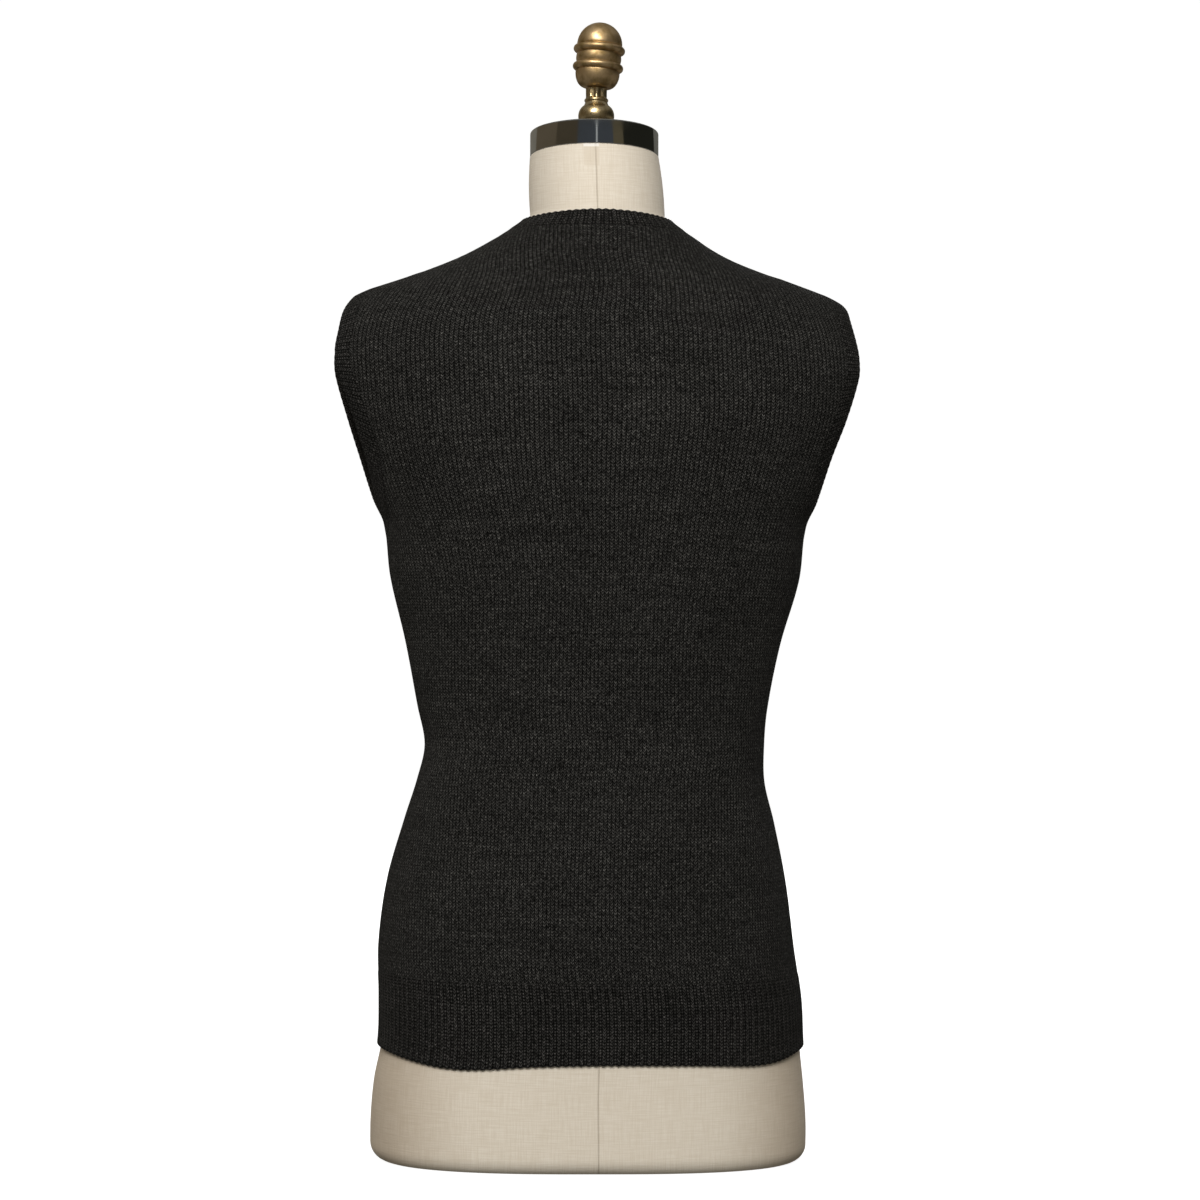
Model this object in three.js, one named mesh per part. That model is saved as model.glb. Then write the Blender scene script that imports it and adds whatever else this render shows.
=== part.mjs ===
// A knitted sweater vest worn by a limbless dress form.
// The vest is a sleeveless V-neck pullover in plain knit: a back and a front panel, a ribbed welt below each,
// a ribbed neckband and two ribbed armbands, each a wall of cloth that stands just clear of the form.
// The form is a cloth-covered torso with a flat underside, a metal neck cap and a turned brass finial.
// Millimetres, +Z up. -Y is the garment's back, +Y its front, and +X is to the right of someone looking at the back.
// The origin is on the flat underside that the form stands on, below the middle of the neck.

import * as THREE from "three";

// Driving dimensions
const WALL = 2.2; // thickness of the knitted cloth
const CLEARANCE = 0.9; // between the cloth and the form
const SEAM_GAP = 0.3; // between two pieces of cloth at a seam
const RIB_HEIGHT = 1.0; // how far a rib stands out of the cloth between the ribs
const HEM_Z = 84.5; // lower edge of the welt
const WELT_HEIGHT = 61; // height of the ribbed welt
const NECK_Z = 733; // upper edge of the neckband at the back and over the shoulders
const NECKBAND_HEIGHT = 13; // at the back, measured upright
const V_POINT_Z = 590; // lowest point of the neck opening, at the front
const V_SEAM_ROW = 5; // row of the armhole zone at which the neckband's seam meets at the front
const TORSO_CORNER = 12; // rounding between the form's side and its underside
const PLATE_RECESS = 4; // how far the form's arm plate lies inside the armhole, at its middle
const NECK_TOP_Z = 778; // where the neck cap sits, at the neck's own axis
const NECK_TOP_X = -2.8;
const NECK_TOP_Y = 3;
const NECK_TILT = THREE.MathUtils.degToRad(6.5); // the neck's top slopes down towards the front
const NECK_RADIUS = 50.3;
const CAP_HEIGHT = 19.5;
const FINIAL_X = 1.4; // the finial stands this far from the cap's middle
const KNOB_LEAN = THREE.MathUtils.degToRad(4); // the knob is screwed on a little out of true, towards +X

// How finely the surfaces are divided
const HALF_COLUMNS = 20; // across the back, and across the front
const RIBS_PER_COLUMN = 4;
const LOWER_ROWS = 9; // from the welt to the underarm
const ARM_ROWS = 12; // from the underarm to the shoulder
const UPPER_ROWS = 5; // from the shoulder's end to the neckband
const ARM_COLUMNS = 4; // of the form, under each armband
const HIP_HEIGHTS = [TORSO_CORNER, 38, 65, 92, 118]; // of the form's rows from the rounding up to the welt's seam
const V_COLUMNS = 6; // of the form, in the neck opening
const BACK_NECK_RIBS = 30;
const FRONT_NECK_RIBS = 26; // on each side of the V
const LATHE_SIDES = 28;

/** Rows of values as objects with named columns. */
const table = (columns, rows) =>
  rows.map((row) =>
    Object.fromEntries(columns.map((name, i) => [name, row[i]])),
  );

// The clothed torso, seen as level sections. middle is the section's own middle, halfWidth is measured to either
// side of it, back and front from the side seam's plane, and square is the exponent of the section's outline: 2 is
// an ellipse, and more is boxier.
// Below the hem it is the form's own surface, moved out by the cloth and its clearance.
const SECTIONS = table(
  ["z", "middle", "halfWidth", "back", "front", "square"],
  [
    [0, 0, 172.4, 105, 98, 2.5],
    [30, 0, 172.4, 107, 99, 2.5],
    [60, 0, 170, 109, 100, 2.45],
    [90, 1.2, 165.6, 111.5, 101, 2.4],
    [125, 0.5, 164.3, 114.5, 102, 2.35],
    [165, -3, 161.8, 115.5, 102, 2.3],
    [215, -3.2, 155.4, 108.5, 101, 2.25],
    [262, -1.5, 144.1, 96, 98, 2.2],
    [293, -0.5, 135.5, 87.5, 95.5, 2.2],
    [320, 2, 132.4, 83.5, 94.5, 2.2],
    [350, 0.2, 136.5, 82.5, 97, 2.2],
    [400, 0, 146.2, 86, 104.5, 2.25],
    [450, 0.9, 159.3, 92, 113, 2.35],
    [492, 0.5, 164.4, 96.5, 117.5, 2.5],
    [511, 0, 173.5, 98, 117.5, 2.6],
    [543, 0, 187.2, 100, 113.5, 2.75],
    [574, 0.4, 200.1, 101, 107, 2.87],
    [605, -0.4, 210.3, 99, 98, 2.87],
    [621, -1.2, 212.2, 95.5, 92, 2.75],
    [636, -1.2, 210.6, 91, 86, 2.5],
    [652, -1, 204.8, 85.5, 78, 2.25],
    [662, 0.6, 197, 82, 71.5, 2.05],
    [672, 1.4, 179.6, 78, 65, 1.95],
    [683, 2, 149.2, 73.5, 59.5, 1.9],
    [699, -0.2, 107.5, 67, 55, 1.93],
    [714, -0.2, 80, 61, 52.5, 1.97],
    [727, 0, 60, 57, 51.8, 2],
    [733, 0, 55.4, 55, 51.5, 2],
  ],
);

// The armhole, an oval in the side view: its free edge, and the seam where the armband meets the panels.
const ARMHOLE_EDGE = { z: 583.5, halfHeight: 83.5, back: 50, front: 47 };
const ARMHOLE_SEAM = { z: 577.8, halfHeight: 97.8, back: 65, front: 61 };

// Where the back welt hangs a little lower than level: its distance to the right of the middle, how far it drops,
// and how far the drop spreads to either side.
const HEM_DROPS = table(
  ["x", "drop", "spread"],
  [
    [-98, 5, 52],
    [128, 3.5, 40],
  ],
);

// Turned profiles, as radius and height from the seat upwards.
const CAP_PROFILE = table(
  ["radius", "height"],
  [
    [0, 0],
    [49.6, 0],
    [50.1, 0.6],
    [50.1, 18.3],
    [49.5, 19.2],
    [48.4, CAP_HEIGHT],
    [0, CAP_HEIGHT],
  ],
);
const STEM_PROFILE = table(
  ["radius", "height"],
  [
    [0, 0],
    [15, 0],
    [15.2, 2],
    [12.6, 4],
    [12.4, 7.6],
    [13.9, 10.4],
    [14, 14.2],
    [12.9, 18],
    [11.2, 21],
    [9.2, 23.2],
    [8.8, 26],
    [8.2, 27],
    [8.3, 34],
    [0, 34],
  ],
);
const KNOB_PROFILE = table(
  ["radius", "height"],
  [
    [0, 0],
    [10.2, 0],
    [13.6, 2.4],
    [15.6, 6.2],
    [16.8, 10.8],
    [17.3, 13.4],
    [19.2, 14.4],
    [19.8, 16.2],
    [19.2, 18],
    [17.8, 19],
    [17.5, 23.2],
    [17.8, 27.2],
    [19.6, 28.2],
    [20.2, 30.1],
    [19.6, 32],
    [17.8, 33],
    [17.3, 37.4],
    [15.9, 42.6],
    [12.5, 47.2],
    [7.2, 50.4],
    [0, 51.6],
  ],
);

/** A column of the section table at height z, by a Catmull-Rom curve through the rows. */
function column(name, z) {
  const rows = SECTIONS;
  let i = 0;
  while (i < rows.length - 2 && z > rows[i + 1].z) i++;
  const slope = (k) => {
    const low = rows[Math.max(k - 1, 0)];
    const high = rows[Math.min(k + 1, rows.length - 1)];
    return (high[name] - low[name]) / (high.z - low.z);
  };
  const span = rows[i + 1].z - rows[i].z;
  const t = THREE.MathUtils.clamp((z - rows[i].z) / span, 0, 1);
  return (
    (2 * t ** 3 - 3 * t ** 2 + 1) * rows[i][name] +
    (t ** 3 - 2 * t ** 2 + t) * span * slope(i) +
    (3 * t ** 2 - 2 * t ** 3) * rows[i + 1][name] +
    (t ** 3 - t ** 2) * span * slope(i + 1)
  );
}

/** The point of the clothed torso at height z and an angle round it: -90 degrees is the back, 90 the front. */
function surface(z, angle) {
  const square = column("square", z);
  const c = Math.cos(angle);
  const s = Math.sin(angle);
  const reach =
    (Math.abs(c) ** square + Math.abs(s) ** square) ** (-1 / square);
  const depth = column(s < 0 ? "back" : "front", z);
  return new THREE.Vector3(
    column("middle", z) + column("halfWidth", z) * reach * c,
    depth * reach * s,
    z,
  );
}

/** The outward normal there, from the two directions along the surface. */
function normal(z, angle) {
  const turn = 1e-3;
  const rise = 0.2;
  const along = surface(z, angle + turn).sub(surface(z, angle - turn));
  const up = surface(z + rise, angle).sub(surface(z - rise, angle));
  return along.cross(up).normalize();
}

/** The point moved out along the normal: a negative distance goes in, towards the form. */
const lifted = (z, angle, distance) =>
  surface(z, angle).addScaledVector(normal(z, angle), distance);

/** The angle from the side at which the section at height z reaches a depth behind or before the side seam. */
function angleAtDepth(z, depth, side) {
  const square = column("square", z);
  const share = Math.min(depth / column(side, z), 1);
  return Math.atan2(share, (1 - share ** square) ** (1 / square));
}

/** The angle from the side at which the section reaches a distance x from the middle. */
function angleAtWidth(z, x) {
  const square = column("square", z);
  const share = Math.min(x / column("halfWidth", z), 1);
  return Math.atan2((1 - share ** square) ** (1 / square), share);
}

/** Points of a curve, given as a function of 0 to 1, spaced evenly by length. Returns their parameters. */
function evenly(curve, count) {
  const fine = 240;
  const lengths = [0];
  let before = curve(0);
  for (let i = 1; i <= fine; i++) {
    const here = curve(i / fine);
    lengths.push(lengths[i - 1] + here.distanceTo(before));
    before = here;
  }
  const parameters = [];
  let k = 0;
  for (let j = 0; j <= count; j++) {
    const wanted = (lengths[fine] * j) / count;
    while (k < fine - 1 && lengths[k + 1] < wanted) k++;
    const step = lengths[k + 1] - lengths[k];
    const part = step > 0 ? (wanted - lengths[k]) / step : 0;
    parameters.push(Math.min((k + part) / fine, 1));
  }
  return parameters;
}

/** Angles between two others at one height, spaced evenly by length along the section. */
function anglesAcross(z, from, to, count) {
  const angle = (t) => from + (to - from) * t;
  return evenly((t) => surface(z, angle(t)), count).map(angle);
}

/** A closed mesh from points and triangles, with its faces turned to point out. */
function solid(points, triangles) {
  const volume = triangles.reduce(
    (sum, [a, b, c]) =>
      sum + points[a].dot(points[b].clone().cross(points[c])) / 6,
    0,
  );
  const index =
    volume < 0 ? triangles.map(([a, b, c]) => [a, c, b]) : triangles;
  return new THREE.BufferGeometry()
    .setFromPoints(points)
    .setIndex(index.flat());
}

/** The oval's point in the side view. turn runs from 0 at its lowest point, over the back, to 1. */
function ovalPoint(oval, turn) {
  const around = 2 * Math.PI * turn;
  const across = Math.sin(around);
  return {
    depth: across >= 0 ? oval.back * across : -oval.front * across,
    side: across >= 0 ? "back" : "front",
    z: oval.z - oval.halfHeight * Math.cos(around),
  };
}

/** How far from the side seam's plane the oval lies at height z, behind or before it. */
function ovalDepth(oval, z, side) {
  const rise = THREE.MathUtils.clamp((z - oval.z) / oval.halfHeight, -1, 1);
  return oval[side] * Math.sqrt(1 - rise * rise);
}

const WELT_TOP_Z = HEM_Z + WELT_HEIGHT;
const UNDERARM_Z = ARMHOLE_SEAM.z - ARMHOLE_SEAM.halfHeight;
const SHOULDER_END_Z = ARMHOLE_SEAM.z + ARMHOLE_SEAM.halfHeight;
const NECK_SEAM_Z = NECK_Z - NECKBAND_HEIGHT;

/** Heights of the panels' rows: even below the underarm, along the armhole's turn beside it, and even above. */
const ROW_HEIGHTS = [
  ...Array.from(
    { length: LOWER_ROWS },
    (_, i) => WELT_TOP_Z + ((UNDERARM_Z - WELT_TOP_Z) * i) / LOWER_ROWS,
  ),
  ...Array.from(
    { length: ARM_ROWS },
    (_, i) => ovalPoint(ARMHOLE_SEAM, i / (2 * ARM_ROWS)).z,
  ),
  ...Array.from(
    { length: UPPER_ROWS + 1 },
    (_, i) =>
      SHOULDER_END_Z + ((NECK_SEAM_Z - SHOULDER_END_Z) * i) / UPPER_ROWS,
  ),
];
const V_SEAM_Z = ROW_HEIGHTS[LOWER_ROWS + V_SEAM_ROW];

/** Where a seam ends the row, as an angle from the side: the side seam, the armhole seam or the shoulder seam. */
const seamAngle = (z, side, gap = 0) =>
  angleAtDepth(z, ovalDepth(ARMHOLE_SEAM, z, side) + gap, side);

/** Half the width of the neckband's seam at height z, on the front. */
function vSeamWidth(z) {
  const share = Math.max((z - V_SEAM_Z) / (NECK_SEAM_Z - V_SEAM_Z), 0);
  return column("halfWidth", NECK_SEAM_Z) * share;
}

/** Joins quads of places where their points coincide, and drops the triangles that this leaves without area. */
function weld(quads, pointOf) {
  const places = [];
  const known = new Map();
  const indexOf = (place) => {
    const key = pointOf(place)
      .toArray()
      .map((value) => Math.round(value * 1e3))
      .join(" ");
    if (!known.has(key)) known.set(key, places.push(place) - 1);
    return known.get(key);
  };
  const faces = quads
    .flatMap((quad) => {
      const [a, b, c, d] = quad.map(indexOf);
      return [
        [a, b, c],
        [a, c, d],
      ];
    })
    .filter(([a, b, c]) => a !== b && b !== c && c !== a);
  return { places, faces };
}

/** A wall of cloth from quads of places on the surface, each a height and an angle. Edges used once get a rim. */
function clothPanel(quads) {
  const { places, faces } = weld(quads, ([z, angle]) => surface(z, angle));
  const used = new Set(
    faces.flatMap(([a, b, c]) => [`${a} ${b}`, `${b} ${c}`, `${c} ${a}`]),
  );
  const rims = [...used]
    .map((edge) => edge.split(" ").map(Number))
    .filter(([a, b]) => !used.has(`${b} ${a}`));
  const inner = places.length;
  return solid(
    [
      ...places.map(([z, angle]) => surface(z, angle)),
      ...places.map(([z, angle]) => lifted(z, angle, -WALL)),
    ],
    [
      ...faces,
      ...faces.map(([a, b, c]) => [a + inner, c + inner, b + inner]),
      ...rims.flatMap(([a, b]) => [
        [b, a, a + inner],
        [b, a + inner, b + inner],
      ]),
    ],
  );
}

/** Quads between rows of places that have the same number of columns. */
function quadsBetween(rows) {
  const quads = [];
  for (let i = 0; i < rows.length - 1; i++)
    for (let j = 0; j < rows[i].length - 1; j++)
      quads.push([
        rows[i][j],
        rows[i][j + 1],
        rows[i + 1][j + 1],
        rows[i + 1][j],
      ]);
  return quads;
}

/** The back panel: each row runs from one side across the back to the other. */
function backPanel() {
  const rows = ROW_HEIGHTS.map((z) => {
    const end = seamAngle(z, "back", SEAM_GAP / 2);
    return anglesAcross(z, end - Math.PI, -end, HALF_COLUMNS).map((angle) => [
      z,
      angle,
    ]);
  });
  return clothPanel(quadsBetween(rows));
}

/** The front panel: two halves that meet in the middle below the V, and part along its sides above. */
function frontPanel() {
  const halfRows = ROW_HEIGHTS.map((height, i) => {
    const last = i === ROW_HEIGHTS.length - 1;
    const z = last ? height - 4 * SEAM_GAP : height;
    const end = seamAngle(z, "front", SEAM_GAP / 2);
    const middle =
      z > V_SEAM_Z ? angleAtWidth(z, vSeamWidth(z)) : Math.PI / 2;
    return anglesAcross(z, end, middle, HALF_COLUMNS / 2).map((angle) => [
      z,
      angle,
    ]);
  });
  const otherHalf = halfRows.map((row) =>
    row.map(([z, angle]) => [z, Math.PI - angle]).reverse(),
  );
  return clothPanel([...quadsBetween(halfRows), ...quadsBetween(otherHalf)]);
}

/** A ribbed wall. The outer rows hold a valley and a ridge for each rib, and the plain inside follows the valleys. */
function ribbedWall(outerRows, innerRows, closed) {
  const outerCount = outerRows[0].length;
  const innerCount = innerRows[0].length;
  const points = [...outerRows.flat(), ...innerRows.flat()];
  const outer = (i, j) => i * outerCount + (j % outerCount);
  const innerStart = outerRows.length * outerCount;
  const inner = (i, j) => innerStart + i * innerCount + (j % innerCount);
  const triangles = [];
  const quad = (a, b, c, d) => triangles.push([a, b, c], [a, c, d]);
  const ribs = closed ? innerCount : innerCount - 1;
  for (let i = 0; i < outerRows.length - 1; i++) {
    for (let j = 0; j < 2 * ribs; j++)
      quad(
        outer(i, j),
        outer(i, j + 1),
        outer(i + 1, j + 1),
        outer(i + 1, j),
      );
    for (let j = 0; j < ribs; j++)
      quad(
        inner(i, j),
        inner(i + 1, j),
        inner(i + 1, j + 1),
        inner(i, j + 1),
      );
    if (!closed) {
      quad(outer(i, 0), outer(i + 1, 0), inner(i + 1, 0), inner(i, 0));
      quad(
        outer(i, 2 * ribs),
        inner(i, ribs),
        inner(i + 1, ribs),
        outer(i + 1, 2 * ribs),
      );
    }
  }
  const last = outerRows.length - 1;
  for (let j = 0; j < ribs; j++) {
    const valley = 2 * j;
    quad(outer(0, valley), inner(0, j), inner(0, j + 1), outer(0, valley + 2));
    triangles.push([
      outer(0, valley),
      outer(0, valley + 2),
      outer(0, valley + 1),
    ]);
    quad(
      outer(last, valley),
      outer(last, valley + 2),
      inner(last, j + 1),
      inner(last, j),
    );
    triangles.push([
      outer(last, valley),
      outer(last, valley + 1),
      outer(last, valley + 2),
    ]);
  }
  return solid(points, triangles);
}

/** How much lower than level the back welt's edge hangs at a distance x to the right of the middle. */
const hemDrop = (x) =>
  HEM_DROPS.reduce(
    (sum, row) => sum + row.drop * Math.exp(-(((x - row.x) / row.spread) ** 2)),
    0,
  );

/** The ribbed welt below a panel: its ribs run upright, evenly spaced from side seam to side seam. */
function welt(side) {
  const from = side === "back" ? -Math.PI : 0;
  const ribs = HALF_COLUMNS * RIBS_PER_COLUMN;
  const rowAt = (share, count, height) => {
    const level = WELT_TOP_Z - SEAM_GAP - (WELT_HEIGHT - SEAM_GAP) * share;
    const end = angleAtDepth(level, SEAM_GAP / 2, side);
    const angles = anglesAcross(
      level,
      from + end,
      from + Math.PI - end,
      count,
    );
    return angles.map((angle, j) => {
      const drop =
        side === "back" ? hemDrop(surface(level, angle).x) * share : 0;
      return lifted(level - drop, angle, height(j));
    });
  };
  const shares = [0, 0.5, 1];
  return ribbedWall(
    shares.map((s) => rowAt(s, 2 * ribs, (j) => (j % 2 ? RIB_HEIGHT : 0))),
    shares.map((s) => rowAt(s, ribs, () => -WALL)),
    false,
  );
}

/** An armband: ribs across a band between the armhole seam, whose corners are the panels' row ends, and its edge. */
function armband(hand) {
  const segments = 2 * ARM_ROWS;
  const seamCorner = (k) => {
    const corner = ovalPoint(ARMHOLE_SEAM, (k % segments) / segments);
    const signed = corner.side === "back" ? -corner.depth : corner.depth;
    return new THREE.Vector2(signed, corner.z);
  };
  const inset = 1 - SEAM_GAP / ARMHOLE_SEAM.front;
  const centre = new THREE.Vector2(0, ARMHOLE_SEAM.z);
  const placeAt = (turn, share) => {
    const k = Math.floor(turn * segments);
    const seam = seamCorner(k)
      .lerp(seamCorner(k + 1), turn * segments - k)
      .sub(centre)
      .multiplyScalar(inset)
      .add(centre);
    const edge = ovalPoint(ARMHOLE_EDGE, turn);
    const edgePlace = new THREE.Vector2(
      edge.side === "back" ? -edge.depth : edge.depth,
      edge.z,
    );
    return seam.lerp(edgePlace, share);
  };
  const pointAt = (turn, share, height) => {
    const place = placeAt(turn, share);
    const side = place.x < 0 ? "back" : "front";
    const fromSide = angleAtDepth(place.y, Math.abs(place.x), side);
    const angle = side === "back" ? -fromSide : fromSide;
    return lifted(place.y, hand > 0 ? angle : Math.PI - angle, height);
  };
  const ribs = segments * RIBS_PER_COLUMN;
  const row = (share, count, height) =>
    Array.from({ length: count }, (_, j) =>
      pointAt(j / count, share, height(j)),
    );
  const shares = [0, 0.5, 1];
  return ribbedWall(
    shares.map((s) => row(s, 2 * ribs, (j) => (j % 2 ? RIB_HEIGHT : 0))),
    shares.map((s) => row(s, ribs, () => -WALL)),
    true,
  );
}

/** The neckband: level round the back from shoulder to shoulder, then down both sides of the V to its mitre. */
function neckband() {
  const edgeWidth = column("halfWidth", NECK_Z);
  const seamTop = NECK_SEAM_Z + SEAM_GAP;
  const seamPoint = V_SEAM_Z + 7 * SEAM_GAP;
  const seamWidth = column("halfWidth", seamTop);
  const place = (top, bottom, width) => (t) => {
    const z = top + (bottom - top) * t;
    return [z, angleAtWidth(z, width * (1 - t))];
  };
  const sideOfV = (share, count) => {
    const top = seamTop + (NECK_Z - seamTop) * share;
    const bottom = seamPoint + (V_POINT_Z - seamPoint) * share;
    const width = seamWidth + (edgeWidth - seamWidth) * share;
    const curve = place(top, bottom, width);
    return evenly((t) => surface(...curve(t)), count).map(curve);
  };
  const row = (share, perRib, height) => {
    const top = seamTop + (NECK_Z - seamTop) * share;
    const back = anglesAcross(top, -Math.PI, 0, BACK_NECK_RIBS * perRib).map(
      (angle) => [top, angle],
    );
    const right = sideOfV(share, FRONT_NECK_RIBS * perRib);
    const left = right.map(([z, angle]) => [z, Math.PI - angle]).reverse();
    return [...back, ...right.slice(1), ...left.slice(1, -1)].map(
      ([z, angle], j) => lifted(z, angle, height(j)),
    );
  };
  const shares = [0, 0.5, 1];
  return ribbedWall(
    shares.map((s) => row(s, 2, (j) => (j % 2 ? RIB_HEIGHT : 0))),
    shares.map((s) => row(s, 1, () => -WALL)),
    true,
  );
}

/** How far out the form's arm plate lets its side reach at height z, or no limit above and below the armhole. */
function plateReach(z) {
  const share =
    (z - ARMHOLE_EDGE.z + ARMHOLE_EDGE.halfHeight) /
    (2 * ARMHOLE_EDGE.halfHeight);
  if (share <= 0 || share >= 1) return Infinity;
  const fromSide = angleAtDepth(
    z,
    ovalDepth(ARMHOLE_EDGE, z, "back"),
    "back",
  );
  const recess =
    WALL + CLEARANCE + PLATE_RECESS * Math.sin(Math.PI * share);
  return surface(z, -fromSide).x - column("middle", z) - recess;
}

/** The form's own columns at height z, in line with the panels', with more under the armbands and in the V. */
function formAngles(z) {
  const back = seamAngle(z, "back");
  const front = seamAngle(z, "front");
  const middle =
    z > V_SEAM_Z ? angleAtWidth(z, vSeamWidth(z)) : Math.PI / 2;
  const between = (from, to, count) =>
    Array.from(
      { length: count - 1 },
      (_, i) => from + ((to - from) * (i + 1)) / count,
    );
  const right = anglesAcross(z, front, middle, HALF_COLUMNS / 2);
  return [
    ...anglesAcross(z, back - Math.PI, -back, HALF_COLUMNS),
    ...between(-back, front, ARM_COLUMNS),
    ...right,
    ...between(middle, Math.PI - middle, V_COLUMNS),
    ...right.map((angle) => Math.PI - angle).reverse(),
    ...between(Math.PI - front, Math.PI + back, ARM_COLUMNS),
  ];
}

/** The form's torso and neck: the clothed shape moved in, a rounded lower edge, arm plates and a tilted neck top. */
function torso() {
  const ringOf = (z, inset) => {
    const reach = plateReach(z);
    return formAngles(z).map((angle) => {
      const point = lifted(z, angle, -(WALL + CLEARANCE));
      const middle = column("middle", z);
      point.x = THREE.MathUtils.clamp(point.x, middle - reach, middle + reach);
      if (z < WELT_TOP_Z) point.z = z;
      const shrink = 1 - inset / Math.hypot(point.x, point.y);
      return point.multiply(new THREE.Vector3(shrink, shrink, 1));
    });
  };
  const cornerRows = [0, 1, 2, 3].map((k) => {
    const turn = (k / 4) * (Math.PI / 2);
    return ringOf(
      TORSO_CORNER * (1 - Math.cos(turn)),
      TORSO_CORNER * (1 - Math.sin(turn)),
    );
  });
  const hipRows = HIP_HEIGHTS.map((z) => ringOf(z, 0));
  const bodyRows = ROW_HEIGHTS.map((z) => ringOf(z, 0));
  const bandRow = ringOf((NECK_SEAM_Z + NECK_Z) / 2, 0);
  const neckBase = ringOf(NECK_Z, 0);
  const top = neckBase.map((point) => {
    const around = Math.atan2(point.y, point.x - column("middle", NECK_Z));
    const along = NECK_RADIUS * Math.sin(around);
    return new THREE.Vector3(
      NECK_TOP_X + NECK_RADIUS * Math.cos(around),
      NECK_TOP_Y + along * Math.cos(NECK_TILT),
      NECK_TOP_Z - along * Math.sin(NECK_TILT),
    );
  });
  const neckRows = [0, 0.3, 0.65, 1].map((share) =>
    neckBase.map((point, j) => point.clone().lerp(top[j], share)),
  );
  const rows = [
    ...cornerRows,
    ...hipRows,
    ...bodyRows,
    bandRow,
    ...neckRows,
  ].map((row) => [...row, row[0]]);
  const fan = (middle, row) =>
    row.slice(1).map((point, j) => [middle, row[j], point, point]);
  const underside = fan(new THREE.Vector3(0, 0, 0), [...rows[0]].reverse());
  const neckTop = fan(
    new THREE.Vector3(NECK_TOP_X, NECK_TOP_Y, NECK_TOP_Z),
    rows[rows.length - 1],
  );
  const { places, faces } = weld(
    [...quadsBetween(rows), ...underside, ...neckTop],
    (point) => point,
  );
  return solid(places, faces);
}

/** A turned piece from its profile, standing on the XY plane about the Z axis. */
function turned(profile) {
  const points = profile.map(
    ({ radius, height }) => new THREE.Vector2(radius, height),
  );
  return new THREE.LatheGeometry(points, LATHE_SIDES).rotateX(Math.PI / 2);
}

const knit = { color: 0x2b2b29, roughness: 0.95, metalness: 0 };
const linen = { color: 0xd6c9b2, roughness: 0.9, metalness: 0 };
const blackChrome = { color: 0x3a3733, roughness: 0.15, metalness: 1 };
const polishedBrass = { color: 0xb99352, roughness: 0.25, metalness: 1 };
const agedBrass = { color: 0x8f7446, roughness: 0.45, metalness: 1 };

/** A named piece with its own material. */
function piece(name, geometry, finish) {
  const mesh = new THREE.Mesh(
    geometry,
    new THREE.MeshStandardMaterial(finish),
  );
  mesh.name = name;
  return mesh;
}

/** The vest's pieces of cloth. */
function vest() {
  const group = new THREE.Group();
  group.add(
    piece("vest_back", backPanel(), knit),
    piece("vest_front", frontPanel(), knit),
    piece("vest_back_welt", welt("back"), knit),
    piece("vest_front_welt", welt("front"), knit),
    piece("vest_neckband", neckband(), knit),
    piece("vest_armband_right", armband(1), knit),
    piece("vest_armband_left", armband(-1), knit),
  );
  return group;
}

/** The neck cap and the finial on it, seated on the tilted top of the neck. */
function neckFittings() {
  const group = new THREE.Group();
  group.position.set(NECK_TOP_X, NECK_TOP_Y, NECK_TOP_Z);
  group.rotation.x = -NECK_TILT;
  const cap = piece("form_neck_cap", turned(CAP_PROFILE), blackChrome);
  cap.position.z = SEAM_GAP;
  const finial = new THREE.Group();
  finial.position.set(FINIAL_X, 0, CAP_HEIGHT + 2 * SEAM_GAP);
  finial.rotation.x = NECK_TILT / 2;
  const stem = piece("form_finial_stem", turned(STEM_PROFILE), polishedBrass);
  stem.position.z = STEM_PROFILE[1].radius * Math.sin(NECK_TILT / 2);
  const knob = piece("form_finial_knob", turned(KNOB_PROFILE), agedBrass);
  const stemTop = STEM_PROFILE[STEM_PROFILE.length - 1];
  const knobRise = KNOB_PROFILE[1].radius * Math.sin(KNOB_LEAN);
  knob.position.z = stem.position.z + stemTop.height + knobRise + SEAM_GAP;
  knob.rotation.y = KNOB_LEAN;
  finial.add(stem, knob);
  group.add(cap, finial);
  return group;
}

const wornVest = new THREE.Group();
wornVest.add(vest(), piece("form_torso", torso(), linen), neckFittings());

export default wornVest;
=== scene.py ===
"""A knitted sweater vest worn by a limbless dress form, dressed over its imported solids.

The vest is a sleeveless V-neck pullover in charcoal wool: plain knit panels, with 1x1 rib at the welt, neckband
and armbands. The form is a linen-covered torso with a dark chrome neck cap and a brass finial. Shapes are
worked out in millimetres, in the frame of the solids: -Y is the garment's back, which the camera sees, and +Z
is up.
"""

from __future__ import annotations

import logging
import math
from dataclasses import dataclass
from enum import Enum

import bmesh
import bpy
import numpy as np
from mathutils import Matrix, Vector

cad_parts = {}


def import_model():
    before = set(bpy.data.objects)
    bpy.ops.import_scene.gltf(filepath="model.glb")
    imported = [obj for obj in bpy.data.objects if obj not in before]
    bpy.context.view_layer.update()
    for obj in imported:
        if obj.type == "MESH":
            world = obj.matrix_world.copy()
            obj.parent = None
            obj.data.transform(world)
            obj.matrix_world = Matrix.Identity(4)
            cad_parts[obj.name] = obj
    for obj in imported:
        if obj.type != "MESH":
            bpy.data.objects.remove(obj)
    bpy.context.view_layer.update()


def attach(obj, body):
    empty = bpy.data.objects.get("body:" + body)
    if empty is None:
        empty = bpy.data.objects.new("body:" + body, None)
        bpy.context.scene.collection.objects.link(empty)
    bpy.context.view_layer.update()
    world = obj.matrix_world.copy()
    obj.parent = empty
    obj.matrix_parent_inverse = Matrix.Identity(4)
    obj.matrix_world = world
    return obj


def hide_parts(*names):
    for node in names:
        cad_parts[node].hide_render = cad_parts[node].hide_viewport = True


LOG = logging.getLogger("vest")
MM = 0.001
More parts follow.
